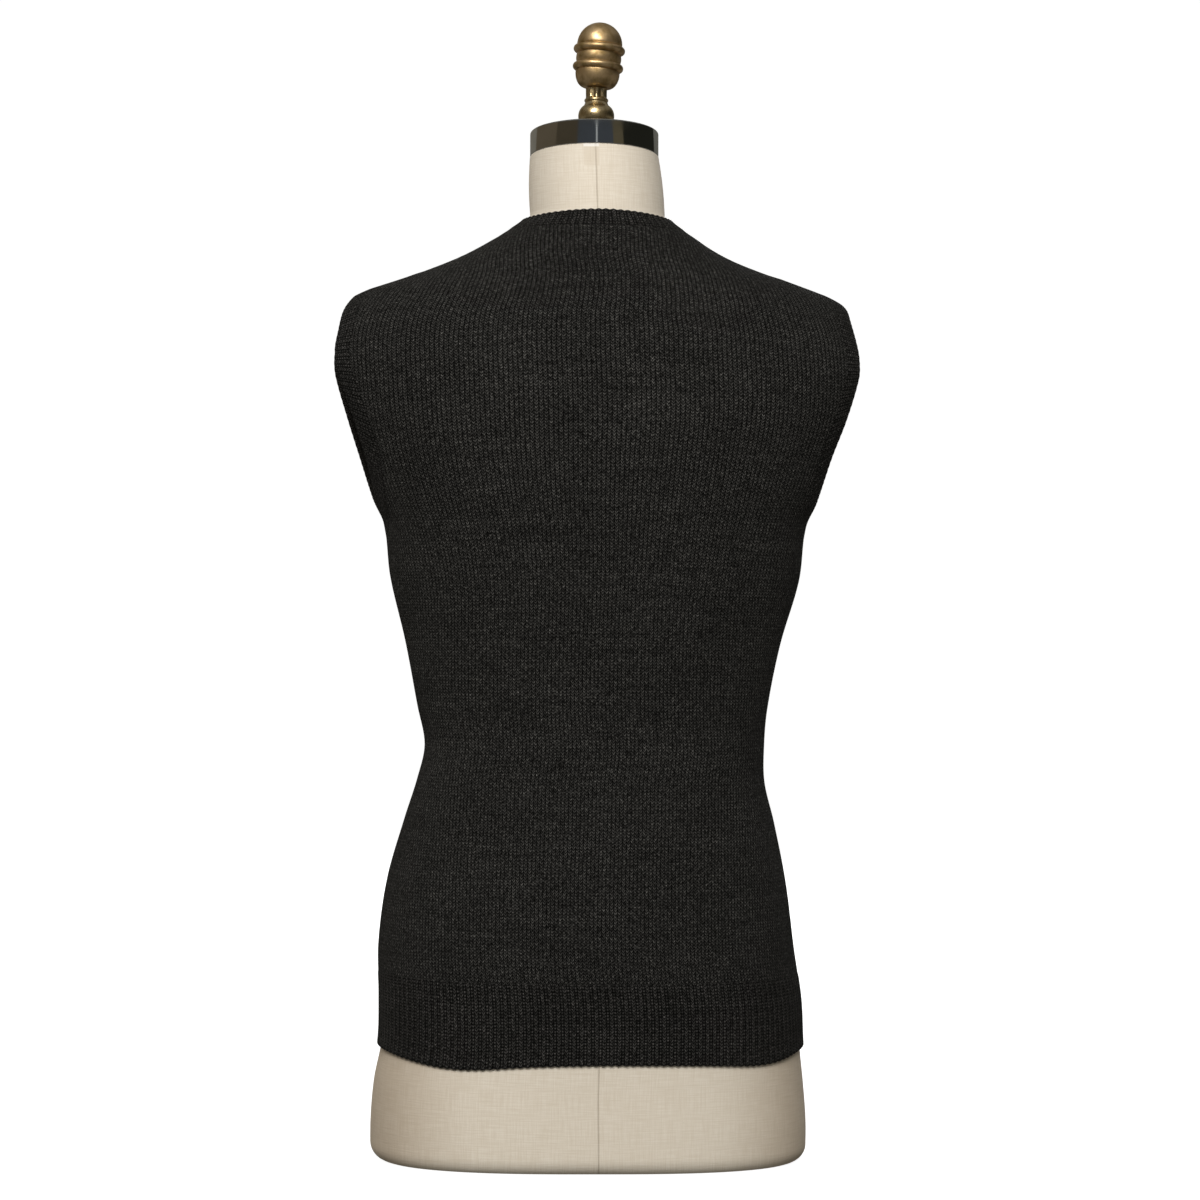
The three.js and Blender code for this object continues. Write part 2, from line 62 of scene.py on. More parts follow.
# The knit's wall, the air between it and the form, and how far a rib stands out.
WALL = 2.2
CLEARANCE = 0.9
RIB_HEIGHT = 0.42
# Real courses are about 2.1 mm apart. They are drawn a little coarser here, so that they show in the render.
COURSE_PITCH = 2.35
# Heights of the hem, the welt's top and its seam, the neckband's free edge and its seam, and the V's point.
HEM_Z = 84.5
WELT_TOP_Z = 145.5
WELT_SEAM_Z = WELT_TOP_Z - 0.3
NECK_Z = 733.0
NECK_SEAM_Z = 720.0
V_POINT_Z = 590.0
# The steps in angle and height over which the surface's two directions are taken.
ANGLE_STEP = 1e-3
HEIGHT_STEP = 0.2
# Points this close, in millimetres, are one point where a ring of cloth closes.
WELD = 0.001
# Faces that meet at more than this angle keep a sharp edge between them.
RIM_ANGLE = math.radians(48)
PATTERN_MAP = "stitches"


class Half(Enum):
    """The two halves of the figure, by the name of their depth in the section table."""

    BACK = "back"
    FRONT = "front"

    @property
    def middle_angle(self) -> float:
        """The angle of the half's own middle line."""
        return -math.pi / 2 if self is Half.BACK else math.pi / 2


def smooth(t: np.ndarray) -> np.ndarray:
    """A step from 0 to 1 with level ends: 3t^2 - 2t^3, with t held between 0 and 1."""
    held = np.clip(t, 0.0, 1.0)
    return held * held * (3 - 2 * held)


def run_along(points: np.ndarray) -> np.ndarray:
    """Length along each row of points, from 0 at its first point."""
    steps = np.linalg.norm(np.diff(points, axis=1), axis=-1)
    return np.concatenate([np.zeros((len(points), 1)), np.cumsum(steps, axis=1)], axis=1)


def read_by_length(run: np.ndarray, values: np.ndarray, shares: np.ndarray) -> np.ndarray:
    """Reads each row's values where its length reaches some shares of its whole.

    Args:
        run: length along each row.
        values: the values there.
        shares: shares of the length, the same for every row.

    Returns:
        A row of values for each row.
    """
    return np.array([np.interp(shares * lengths[-1], lengths, row) for lengths, row in zip(run, values)])


@dataclass(frozen=True)
class Figure:
    """The clothed figure as level sections, with the columns below.

    A section's outline at an angle is x = middle + half_width q cos, y = depth q sin, where q is
    (|cos|^square + |sin|^square)^(-1/square), and depth is back or front. Each column runs between its rows as
    a Catmull-Rom curve.
    """

    columns: tuple[str, ...] = ("z", "middle", "half_width", "back", "front", "square")
    rows: tuple[tuple[float, ...], ...] = (
        (0, 0, 172.4, 105, 98, 2.5),
        (30, 0, 172.4, 107, 99, 2.5),
        (60, 0, 170, 109, 100, 2.45),
        (90, 1.2, 165.6, 111.5, 101, 2.4),
        (125, 0.5, 164.3, 114.5, 102, 2.35),
        (165, -3, 161.8, 115.5, 102, 2.3),
        (215, -3.2, 155.4, 108.5, 101, 2.25),
        (262, -1.5, 144.1, 96, 98, 2.2),
        (293, -0.5, 135.5, 87.5, 95.5, 2.2),
        (320, 2, 132.4, 83.5, 94.5, 2.2),
        (350, 0.2, 136.5, 82.5, 97, 2.2),
        (400, 0, 146.2, 86, 104.5, 2.25),
        (450, 0.9, 159.3, 92, 113, 2.35),
        (492, 0.5, 164.4, 96.5, 117.5, 2.5),
        (511, 0, 173.5, 98, 117.5, 2.6),
        (543, 0, 187.2, 100, 113.5, 2.75),
        (574, 0.4, 200.1, 101, 107, 2.87),
        (605, -0.4, 210.3, 99, 98, 2.87),
        (621, -1.2, 212.2, 95.5, 92, 2.75),
        (636, -1.2, 210.6, 91, 86, 2.5),
        (652, -1, 204.8, 85.5, 78, 2.25),
        (662, 0.6, 197, 82, 71.5, 2.05),
        (672, 1.4, 179.6, 78, 65, 1.95),
        (683, 2, 149.2, 73.5, 59.5, 1.9),
        (699, -0.2, 107.5, 67, 55, 1.93),
        (714, -0.2, 80, 61, 52.5, 1.97),
        (727, 0, 60, 57, 51.8, 2),
        (733, 0, 55.4, 55, 51.5, 2),
    )

    def column(self, name: str, z: np.ndarray) -> np.ndarray:
        """Reads a column of the table at some heights.

        Args:
            name: the column's name.
            z: the heights.

        Returns:
            The column's values there.
        """
        table = np.array(self.rows)
        heights, values = table[:, 0], table[:, self.columns.index(name)]
        slopes = np.gradient(values, heights)
        slopes[1:-1] = (values[2:] - values[:-2]) / (heights[2:] - heights[:-2])
        row = np.clip(np.searchsorted(heights, z, side="left") - 1, 0, len(heights) - 2)
        span = heights[row + 1] - heights[row]
        t = np.clip((z - heights[row]) / span, 0, 1)
        return (
            (2 * t**3 - 3 * t**2 + 1) * values[row]
            + (t**3 - 2 * t**2 + t) * span * slopes[row]
            + (3 * t**2 - 2 * t**3) * values[row + 1]
            + (t**3 - t**2) * span * slopes[row + 1]
        )

    def surface(self, z: np.ndarray, angle: np.ndarray) -> np.ndarray:
        """Gives points of the clothed surface, by the class's formula.

        Args:
            z: heights.
            angle: angles round the section, of the same shape.

        Returns:
            An array of points, with x, y, z along its last axis.
        """
        square = self.column("square", z)
        c, s = np.cos(angle), np.sin(angle)
        reach = (np.abs(c) ** square + np.abs(s) ** square) ** (-1 / square)
        depth = np.where(s < 0, self.column("back", z), self.column("front", z))
        x = self.column("middle", z) + self.column("half_width", z) * reach * c
        return np.stack([x, depth * reach * s, np.broadcast_to(z, x.shape)], axis=-1)

    def lifted(self, z: np.ndarray, angle: np.ndarray, lift: np.ndarray | float) -> np.ndarray:
        """Moves points of the surface out along its normal, the cross product of its two directions.

        Args:
            z: heights.
            angle: angles round the section.
            lift: distances, of which a negative one goes in, towards the form.

        Returns:
            An array of points.
        """
        along = self.surface(z, angle + ANGLE_STEP) - self.surface(z, angle - ANGLE_STEP)
        up = self.surface(z + HEIGHT_STEP, angle) - self.surface(z - HEIGHT_STEP, angle)
        normal = np.cross(along, up)
        normal /= np.linalg.norm(normal, axis=-1, keepdims=True)
        return self.surface(z, angle) + normal * np.asarray(lift)[..., None]

    def angle_at_depth(self, z: np.ndarray, depth: np.ndarray, half: Half) -> np.ndarray:
        """The angle from the side at which a section reaches a depth behind or before the side seam."""
        square = self.column("square", z)
        share = np.clip(depth / self.column(half.value, z), 0, 1)
        return np.arctan2(share, (1 - share**square) ** (1 / square))

    def angle_at_width(self, z: np.ndarray, width: np.ndarray) -> np.ndarray:
        """The angle from the side at which a section reaches a distance from its own middle."""
        square = self.column("square", z)
        share = np.clip(width / self.column("half_width", z), 0, 1)
        return np.arctan2((1 - share**square) ** (1 / square), share)

    def angles_across(
        self, z: np.ndarray, start: np.ndarray, end: np.ndarray, shares: np.ndarray, fine_steps: int = 400
    ) -> np.ndarray:
        """Divides sections by length: a fine run of angles is read where its own length reaches each share.

        Args:
            z: a height for each row.
            start: the angle at which each row starts.
            end: the angle at which each row ends.
            shares: shares of the length, the same for every row.
            fine_steps: how many angles the fine run has.

        Returns:
            Angles, a row for each height.
        """
        t = np.linspace(0, 1, fine_steps)
        fine = start[:, None] + (end - start)[:, None] * t
        points = self.surface(np.repeat(z[:, None], len(t), axis=1), fine)
        return read_by_length(run_along(points), fine, shares)

    def climb(self, z: np.ndarray, angle: np.ndarray) -> np.ndarray:
        """Length along the cloth from the welt's top up to each point, at a fixed angle.

        The lengths are summed on a grid of heights and angles, and read from it between its lines.
        """
        heights = np.linspace(HEM_Z, NECK_Z, 220)
        angles = np.linspace(-math.pi, math.pi, 241)
        grid = self.surface(heights[:, None] + 0 * angles, angles + 0 * heights[:, None])
        steps = np.linalg.norm(np.diff(grid, axis=0), axis=-1)
        sums = np.concatenate([np.zeros((1, len(angles))), np.cumsum(steps, axis=0)])
        row = np.clip((z - heights[0]) / (heights[1] - heights[0]), 0, len(heights) - 1.001)
        turn = (np.mod(angle + math.pi, 2 * math.pi)) / (angles[1] - angles[0])
        i, j = row.astype(int), np.minimum(turn.astype(int), len(angles) - 2)
        p, q = row - i, turn - j
        low = sums[i, j] * (1 - q) + sums[i, j + 1] * q
        high = sums[i + 1, j] * (1 - q) + sums[i + 1, j + 1] * q
        return low * (1 - p) + high * p


@dataclass(frozen=True)
class Armhole:
    """An oval in the side view, which may differ before and behind the side seam."""

    z: float
    half_height: float
    back: float
    front: float

    def point(self, turn: np.ndarray) -> tuple[np.ndarray, np.ndarray]:
        """The oval's signed depth and height; turn runs from 0 at its lowest point, over the back, to 1."""
        across = np.sin(2 * math.pi * turn)
        depth = np.where(across >= 0, -self.back * across, -self.front * across)
        return depth, self.z - self.half_height * np.cos(2 * math.pi * turn)

    def depth(self, z: np.ndarray, half: Half) -> np.ndarray:
        """How far from the side seam the oval lies at a height, and 0 above and below it."""
        rise = np.clip((z - self.z) / self.half_height, -1, 1)
        return getattr(self, half.value) * np.sqrt(1 - rise**2)


ARMHOLE_EDGE = Armhole(z=583.5, half_height=83.5, back=50, front=47)
ARMHOLE_SEAM = Armhole(z=577.8, half_height=97.8, back=65, front=61)


@dataclass
class Grid:
    """A sheet of quads: points by row and column, and the pattern's own coordinates at each face's corners.

    Attributes:
        points: rows by columns by 3, in millimetres, with rows going up where columns go to their left.
        pattern: the same with 2 values, and one column more where the grid is closed.
        closed: whether the last column joins the first.
    """

    points: np.ndarray
    pattern: np.ndarray
    closed: bool = False

    def corners(self) -> tuple[np.ndarray, np.ndarray]:
        """Numbers of the four points of each face, and of their places in the pattern."""
        rows, columns = self.points.shape[:2]
        wide = self.pattern.shape[1]
        across = wide - 1 if self.closed else columns - 1
        i, j = np.meshgrid(np.arange(rows - 1), np.arange(across), indexing="ij")
        i, j = i.ravel(), j.ravel()
        steps = ((0, 0), (0, 1), (1, 1), (1, 0))
        faces = np.stack([(i + a) * columns + (j + b) % columns for a, b in steps], axis=1)
        places = np.stack([(i + a) * wide + j + b for a, b in steps], axis=1)
        return faces, places


def new_mesh(name: str, points: np.ndarray, faces: list, pattern: np.ndarray) -> bpy.types.Mesh:
    """Makes a mesh in metres from millimetres, with the pattern at each face's corners as its UV map."""
    mesh = bpy.data.meshes.new(name)
    mesh.from_pydata((points * MM).tolist(), [], faces)
    layer = mesh.uv_layers.new(name=PATTERN_MAP)
    layer.uv.foreach_set("vector", pattern.astype(np.float32).ravel())
    return mesh


def smooth_object(name: str, mesh: bpy.types.Mesh) -> bpy.types.Object:
    """Shades a mesh smooth but for its rims, and links its object to the scene."""
    mesh.shade_smooth()
    mesh.set_sharp_from_angle(angle=RIM_ANGLE)
    made = bpy.data.objects.new(name, mesh)
    bpy.context.scene.collection.objects.link(made)
    return made


def mesh_object(
    name: str,
    grids: list[Grid],
    caps: list[np.ndarray] | None = None,
    flip: bool = False,
    weld: float = 0.0,
) -> bpy.types.Object:
    """Makes one object from grids, smooth and in metres, with the pattern as its UV map.

    Args:
        name: the piece's name.
        grids: the grids, in the order in which their points are numbered.
        caps: faces with many corners that close it, as numbers of points.
        flip: turns every face round.
        weld: joins points closer than this, in millimetres.

    Returns:
        The object, linked to the scene.
    """
    faces, pattern, start = [], [], 0
    for grid in grids:
        corners, places = grid.corners()
        faces += (corners + start).tolist()
        pattern.append(grid.pattern.reshape(-1, 2)[places].reshape(-1, 2))
        start += grid.points.shape[0] * grid.points.shape[1]
    points = np.concatenate([grid.points.reshape(-1, 3) for grid in grids])
    for cap in caps or []:
        faces.append(cap.tolist())
        pattern.append(np.stack([points[cap, 0], points[cap, 1]], axis=1))
    mesh = new_mesh(name, points, faces, np.concatenate(pattern))
    work = bmesh.new()
    work.from_mesh(mesh)
    if weld:
        bmesh.ops.remove_doubles(work, verts=work.verts, dist=weld * MM)
    if flip:
        bmesh.ops.reverse_faces(work, faces=work.faces)
    work.to_mesh(mesh)
    work.free()
    return smooth_object(name, mesh)


def shell_object(name: str, sheets: list[tuple[Grid, Grid]]) -> bpy.types.Object:
    """Makes a closed shell of cloth: the outer sheets, the inner ones turned round, and a rim between them.

    Sheets that meet share their points, which are told apart to a twentieth of a millimetre, so a rim stands
    only where an outer edge has one face.

    Args:
        name: the piece's name.
        sheets: pairs of an outer and an inner grid with the same faces.

    Returns:
        The object, linked to the scene.
    """
    outer = np.concatenate([pair[0].points.reshape(-1, 3) for pair in sheets])
    inner = np.concatenate([pair[1].points.reshape(-1, 3) for pair in sheets])
    _, first, same = np.unique(np.round(outer * 20), axis=0, return_index=True, return_inverse=True)
    same = same.ravel()
    faces, pattern, start = [], [], 0
    for grid, _ in sheets:
        corners, places = grid.corners()
        faces.append(same[corners + start])
        pattern.append(grid.pattern.reshape(-1, 2)[places])
        start += grid.points.shape[0] * grid.points.shape[1]
    outside, places = np.concatenate(faces), np.concatenate(pattern)
    edges = np.stack([outside, np.roll(outside, -1, axis=1)], axis=-1).reshape(-1, 2)
    edge_places = np.stack([places, np.roll(places, -1, axis=1)], axis=-2).reshape(-1, 2, 2)
    _, number, uses = np.unique(np.sort(edges, axis=1), axis=0, return_inverse=True, return_counts=True)
    open_edge = uses[number.ravel()] == 1
    rim, rim_places = edges[open_edge], edge_places[open_edge]
    count = len(first)
    rim_faces = np.stack([rim[:, 1], rim[:, 0], rim[:, 0] + count, rim[:, 1] + count], axis=1)
    rim_pattern = np.stack([rim_places[:, 1], rim_places[:, 0], rim_places[:, 0], rim_places[:, 1]], axis=1)
    every_face = np.concatenate([outside, outside[:, ::-1] + count, rim_faces])
    every_place = np.concatenate([places, places[:, ::-1], rim_pattern])
    points = np.concatenate([outer[first], inner[first]])
    return smooth_object(name, new_mesh(name, points, every_face.tolist(), every_place))


def finish_piece(piece: bpy.types.Object, material: bpy.types.Material, slot: str, *nodes: str) -> None:
    """Dresses a piece, lets it ride with the object and stand for its solids."""
    piece.data.materials.append(material)
    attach(piece, "root")
    if nodes:
        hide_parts(*nodes)
    LOG.info("%s: %d faces", piece.name, len(piece.data.polygons))


@dataclass(frozen=True)
class Crease:
    """A soft trough along a line in the back or front view, or a ridge where its depth is negative."""

    half: Half
    start: tuple[float, float]
    end: tuple[float, float]
    depth: float
    width: float

    def lift(self, points: np.ndarray) -> np.ndarray:
        """How far the crease moves points: -depth exp(-(distance/width)^2), by the distance from its line."""
        a, b = np.array(self.start), np.array(self.end)
        flat = points[..., [0, 2]]
        along = np.clip(((flat - a) @ (b - a)) / ((b - a) @ (b - a)), 0, 1)
        distance = np.linalg.norm(flat - (a + along[..., None] * (b - a)), axis=-1)
        on_half = (points[..., 1] < 0) == (self.half is Half.BACK)
        return np.where(on_half, -self.depth * np.exp(-((distance / self.width) ** 2)), 0.0)


CREASES = (
    Crease(Half.BACK, (-66, 650), (-18, 632), -2.2, 15),
    Crease(Half.BACK, (-58, 680), (-24, 672), 0.9, 9),
    Crease(Half.BACK, (34, 630), (84, 638), -2.0, 12),
    Crease(Half.BACK, (44, 654), (86, 664), 1.1, 8),
    Crease(Half.BACK, (4, 690), (8, 590), 0.8, 16),
    Crease(Half.BACK, (-120, 640), (-150, 560), 0.6, 13),
    Crease(Half.BACK, (128, 630), (152, 548), 0.9, 12),
    Crease(Half.BACK, (150, 500), (116, 448), 0.7, 11),
    Crease(Half.BACK, (-148, 494), (-122, 452), 0.5, 10),
    Crease(Half.BACK, (-110, 322), (-62, 314), 0.7, 9),
    Crease(Half.BACK, (58, 330), (112, 338), 0.6, 8),
    Crease(Half.BACK, (-30, 446), (42, 440), 0.5, 12),
    Crease(Half.BACK, (-20, 300), (30, 306), 0.4, 14),
    Crease(Half.BACK, (-84, 712), (-128, 690), 0.7, 8),
    Crease(Half.BACK, (86, 710), (132, 688), 0.7, 8),
    Crease(Half.FRONT, (-146, 500), (-104, 462), 0.9, 11),
    Crease(Half.FRONT, (148, 506), (112, 470), 0.7, 12),
    Crease(Half.FRONT, (-96, 330), (-40, 322), 0.6, 10),
    Crease(Half.FRONT, (52, 322), (104, 334), 0.7, 9),
    Crease(Half.FRONT, (-104, 660), (-70, 600), 0.5, 13),
    Crease(Half.FRONT, (106, 656), (76, 604), 0.6, 12),
)


def eased(figure: Figure, z: np.ndarray, angle: np.ndarray, lift: np.ndarray | float) -> np.ndarray:
    """Points of the cloth: the surface, moved by the creases and by a lift of its own."""
    flat = figure.surface(z, angle)
    return figure.lifted(z, angle, lift + sum(crease.lift(flat) for crease in CREASES))


@dataclass
class Panel:
    """The plain knit back or front, from the welt to the shoulder seam.

    Its wales are spaced by the length across the cloth: they run closest over the waist and spread at the
    shoulder blades.
    """

    figure: Figure
    half: Half
    name: str
    columns: int = 150
    lower_rows: int = 92
    arm_rows: int = 60
    upper_rows: int = 14
    seam_dip: float = 0.12
    seam_reach: float = 1.6
    v_seam_z: float = ARMHOLE_SEAM.z - ARMHOLE_SEAM.half_height * math.cos(math.pi * 5 / 12)

    def heights(self) -> np.ndarray:
        """Heights of the rows, closer together where the armhole turns."""
        depth, beside = ARMHOLE_SEAM.point(np.linspace(0, 0.5, self.arm_rows + 1))
        below = np.linspace(WELT_SEAM_Z, beside[0], self.lower_rows + 1)
        above = np.linspace(beside[-1], NECK_SEAM_Z + 0.2, self.upper_rows + 1)
        return np.concatenate([below[:-1], beside, above[1:]])

    def wale_pitch(self, z: np.ndarray) -> np.ndarray:
        """Width of a stitch by height: 2.96 mm low down, 3.7 mm at the shoulder blades, 3.3 mm at the neck."""
        spread = 2.96 + 0.74 * smooth((z - 420) / 170)
        return spread - 0.4 * smooth((z - 630) / 70)

    def sheet(
        self, z: np.ndarray, start: np.ndarray, end: np.ndarray, columns: int, soft_ends: tuple[bool, bool]
    ) -> tuple[Grid, Grid]:
        """Fills the panel between two edges, and counts its stitches.

        Args:
            z: heights of the rows.
            start: each row's first angle.
            end: each row's last angle.
            columns: how many columns of faces.
            soft_ends: whether the cloth dips at the first edge, and at the last.

        Returns:
            The outer and the inner grid, with their pattern in wales and courses.
        """
        angle = self.figure.angles_across(z, start, end, np.linspace(0, 1, columns + 1))
        tall = np.repeat(z[:, None], columns + 1, axis=1)
        run = run_along(self.figure.surface(tall, angle))
        lift = np.zeros(run.shape)
        if soft_ends[0]:
            lift -= self.seam_dip * np.exp(-((run / self.seam_reach) ** 2))
        if soft_ends[1]:
            lift -= self.seam_dip * np.exp(-(((run[:, -1:] - run) / self.seam_reach) ** 2))
        outer = eased(self.figure, tall, angle, lift)
        inner = eased(self.figure, tall, angle, lift - WALL)
        middle = np.full(len(z), self.half.middle_angle)
        start_run = self.run_to(z, middle, angle[:, 0])
        wales = (run + start_run[:, None]) / self.wale_pitch(tall)
        courses = self.figure.climb(tall, angle) / COURSE_PITCH
        pattern = np.stack([wales + 0.5, courses], axis=-1)
        return Grid(outer, pattern), Grid(inner, pattern)

    def run_to(self, z: np.ndarray, middle: np.ndarray, angle: np.ndarray) -> np.ndarray:
        """Signed length along each section from its middle line to an angle."""
        t = np.linspace(0, 1, 200)
        fine = middle[:, None] + (angle - middle)[:, None] * t
        points = self.figure.surface(np.repeat(z[:, None], len(t), axis=1), fine)
        lengths = np.linalg.norm(np.diff(points, axis=1), axis=-1).sum(axis=1)
        return np.sign(angle - middle) * lengths

    def build(self, material: bpy.types.Material) -> bpy.types.Object:
        """Makes the panel and gives it its wall."""
        z = self.heights()
        seam = self.figure.angle_at_depth(z, ARMHOLE_SEAM.depth(z, self.half), self.half)
        if self.half is Half.BACK:
            sheets = [self.sheet(z, seam - math.pi, -seam, self.columns, (True, True))]
        else:
            half_columns = self.columns // 2
            share = np.clip((z - self.v_seam_z) / (NECK_SEAM_Z - self.v_seam_z), 0, 1)
            width = share * self.figure.column("half_width", np.full(len(z), NECK_SEAM_Z))
            v_edge = self.figure.angle_at_width(z, width)
            right = self.sheet(z, seam, v_edge, half_columns, (True, False))
            left = self.sheet(z, math.pi - v_edge, math.pi - seam, half_columns, (False, True))
            sheets = [right, left]
        piece = shell_object(self.name + "_knit", sheets)
        finish_piece(piece, material, "charcoal_knit", self.name)
        return piece


def ridge(count: np.ndarray) -> np.ndarray:
    """The rib's height by its count: 0 in each valley at a whole number, and 1 on the ridge between two."""
    return (0.5 - 0.5 * np.cos(2 * math.pi * count)) ** 0.8


@dataclass(frozen=True)
class BandProfile:
    """The section across a ribbed band: up its outside, round its free edge and down its plain inside.

    Distances are shares of the band's width from the seam, with the cloth's lift at each.
    """

    width: float
    rows: int
    fade_in: float = 4.0

    def rings(self) -> tuple[np.ndarray, np.ndarray, np.ndarray]:
        """Shares, lifts, and how far the ribs stand out at each place of the section."""
        flat_to = 1 - WALL / 2 / self.width
        outside = np.linspace(0, flat_to, self.rows)
        turn = np.linspace(0, math.pi, 6)[1:-1]
        round_edge = flat_to + np.sin(turn) * WALL / 2 / self.width
        inside = np.array([flat_to, 0.5, 0.0])
        share = np.concatenate([outside, round_edge, inside])
        lift = np.concatenate([0 * outside, (np.cos(turn) - 1) * WALL / 2, 0 * inside - WALL])
        fade = smooth(outside * self.width / self.fade_in)
        relief = np.concatenate([fade, (0.5 + 0.5 * np.cos(turn)), 0 * inside])
        return share, lift, relief


def ring_band(
    name: str,
    profile: BandProfile,
    share: np.ndarray,
    points: np.ndarray,
    points_per_rib: int,
    flip: bool = False,
) -> bpy.types.Object:
    """Closes the rings of a band's section into one ribbed band, and counts its ribs and courses.

    Args:
        name: the band's name.
        profile: its section.
        share: where each ring lies across the band.
        points: the rings, a row for each share.
        points_per_rib: how many points each rib has.
        flip: turns every face round.

    Returns:
        The band, whose pattern is the count of ribs by the count of courses.
    """
    courses = share[:, None] * profile.width / COURSE_PITCH
    ribs = np.arange(points.shape[1] + 1) / points_per_rib
    pattern = np.stack(np.broadcast_arrays(ribs[None, :], courses), axis=-1)
    grid = Grid(
        np.concatenate([points, points[:1]]), np.concatenate([pattern, pattern[:1]]), closed=True
    )
    return mesh_object(name, [grid], flip=flip, weld=WELD)


@dataclass
class Welt:
    """The ribbed welt below one panel, from side seam to side seam.

    Attributes:
        drops: where the back's hem hangs lower: its distance to the right, how far it drops, and its spread.
        rises: where the hem rises, in the same way.
        seam_sink: how deep the cloth sinks at a side seam, and over how many ribs.
        foot_of_ribs: how far each rib reaches below the valleys beside it, at the hem.
    """

    figure: Figure
    half: Half
    name: str
    ribs: int = 80
    points_per_rib: int = 6
    profile: BandProfile = BandProfile(width=60.7, rows=22)
    drops: tuple[tuple[float, float, float], ...] = ((-104, 5.5, 42), (128, 3.5, 40))
    rises: tuple[tuple[float, float, float], ...] = ((-176, 4.5, 34), (172, 7.0, 26))
    seam_sink: tuple[float, float] = (0.25, 0.35)
    foot_of_ribs: float = 0.6

    def build(self, material: bpy.types.Material) -> bpy.types.Object:
        """Makes the welt as its section carried round the hips, with a closed end at each side seam."""
        share, lift, relief = self.profile.rings()
        level = WELT_SEAM_Z - (WELT_SEAM_Z - HEM_Z) * share
        first = -math.pi if self.half is Half.BACK else 0.0
        start, end = np.full(len(level), first), np.full(len(level), first + math.pi)
        columns = self.ribs * self.points_per_rib
        angle = self.figure.angles_across(level, start, end, np.linspace(0, 1, columns + 1))
        count = np.linspace(0, self.ribs, columns + 1)
        tall = np.repeat(level[:, None], columns + 1, axis=1)
        seam = np.minimum(count, self.ribs - count)[None, :]
        sink, spread_of_sink = self.seam_sink
        sunk = sink * np.exp(-((seam / spread_of_sink) ** 2))
        out = lift[:, None] + relief[:, None] * (RIB_HEIGHT * ridge(count)) - sunk
        wave = 0.25 * np.sin(count * 0.31 + 1.2) + 0.2 * np.sin(count * 0.13)
        tall = tall + (wave - self.foot_of_ribs * ridge(count)) * smooth((share[:, None] - 0.8) * 5)
        x = self.figure.surface(tall, angle)[..., 0]
        bends = [(middle, -rise, spread) for middle, rise, spread in self.rises]
        bends += self.drops if self.half is Half.BACK else ()
        hang = sum(drop * np.exp(-(((x - middle) / spread) ** 2)) for middle, drop, spread in bends)
        tall = tall - hang * share[:, None]
        points = self.figure.lifted(tall, angle, out)[::-1]
        courses = (1 - share[::-1, None]) * self.profile.width / COURSE_PITCH
        pattern = np.stack(np.broadcast_arrays(count[None, :], courses), axis=-1)
        grid = Grid(np.concatenate([points, points[:1]]), np.concatenate([pattern, pattern[:1]]))
        wide = columns + 1
        ring = np.arange(len(share)) * wide
        piece = mesh_object(self.name + "_knit", [grid], caps=[ring[::-1], ring + columns], weld=WELD)
        finish_piece(piece, material, "charcoal_knit", self.name)
        return piece


@dataclass
class Neckband:
    """The ribbed neckband: level round the back, then down both sides of the V to a mitre."""

    figure: Figure
    name: str = "vest_neckband"
    back_ribs: int = 30
    side_ribs: int = 26
    points_per_rib: int = 6
    profile: BandProfile = BandProfile(width=15.0, rows=8)
    v_seam_z: float = Panel.v_seam_z
    side_dip: float = 4.0
    scallop: float = 0.55
    fine_steps: int = 2400

    def centre_line(self, share: np.ndarray) -> tuple[np.ndarray, np.ndarray]:
        """Heights and angles round the neck, a row for each share of the band's width.

        Round the back the row is level at its seam, and at its free edge it dips by side_dip cos^2(angle). On
        the V its height and its distance from the middle fall together, so each side is straight when seen from
        the front, and its ribs are spaced evenly by length.
        """
        top = NECK_SEAM_Z + (NECK_Z - NECK_SEAM_Z) * share
        bottom = self.v_seam_z + (V_POINT_Z - self.v_seam_z) * share
        dip = self.side_dip * share
        side_top = top - dip
        width = self.figure.column("half_width", side_top)
        steps = np.linspace(0, 1, self.back_ribs * self.points_per_rib + 1)
        start, end = np.full(len(share), -math.pi), np.zeros(len(share))
        back = self.figure.angles_across(top, start, end, steps)
        fine = np.linspace(0, 1, self.fine_steps) ** 2
        fine_z = side_top[:, None] + (bottom - side_top)[:, None] * fine
        fine_angle = self.figure.angle_at_width(fine_z, width[:, None] * (1 - fine))
        run = run_along(self.figure.surface(fine_z, fine_angle))
        t = np.linspace(0, 1, self.side_ribs * self.points_per_rib + 1)
        side_z = read_by_length(run, fine_z, t)
        side = read_by_length(run, fine_angle, t)
        across_back = top[:, None] - dip[:, None] * np.cos(back) ** 2
        z = np.concatenate([across_back, side_z[:, 1:], side_z[:, -2:0:-1]], axis=1)
        angle = np.concatenate([back, side[:, 1:], math.pi - side[:, -2:0:-1]], axis=1)
        return z, angle

    def build(self, material: bpy.types.Material) -> bpy.types.Object:
        """Makes the band as a closed ring of its section."""
        share, lift, relief = self.profile.rings()
        z, angle = self.centre_line(share)
        count = np.arange(z.shape[1]) / self.points_per_rib
        out = lift[:, None] + relief[:, None] * RIB_HEIGHT * ridge(count)
        edge = self.scallop * (ridge(count) - 0.5) * smooth((share[:, None] - 0.7) / 0.3)
        points = eased(self.figure, z + edge, angle, out)
        piece = ring_band(self.name + "_knit", self.profile, share, points, self.points_per_rib)
        finish_piece(piece, material, "charcoal_knit", self.name)
        return piece


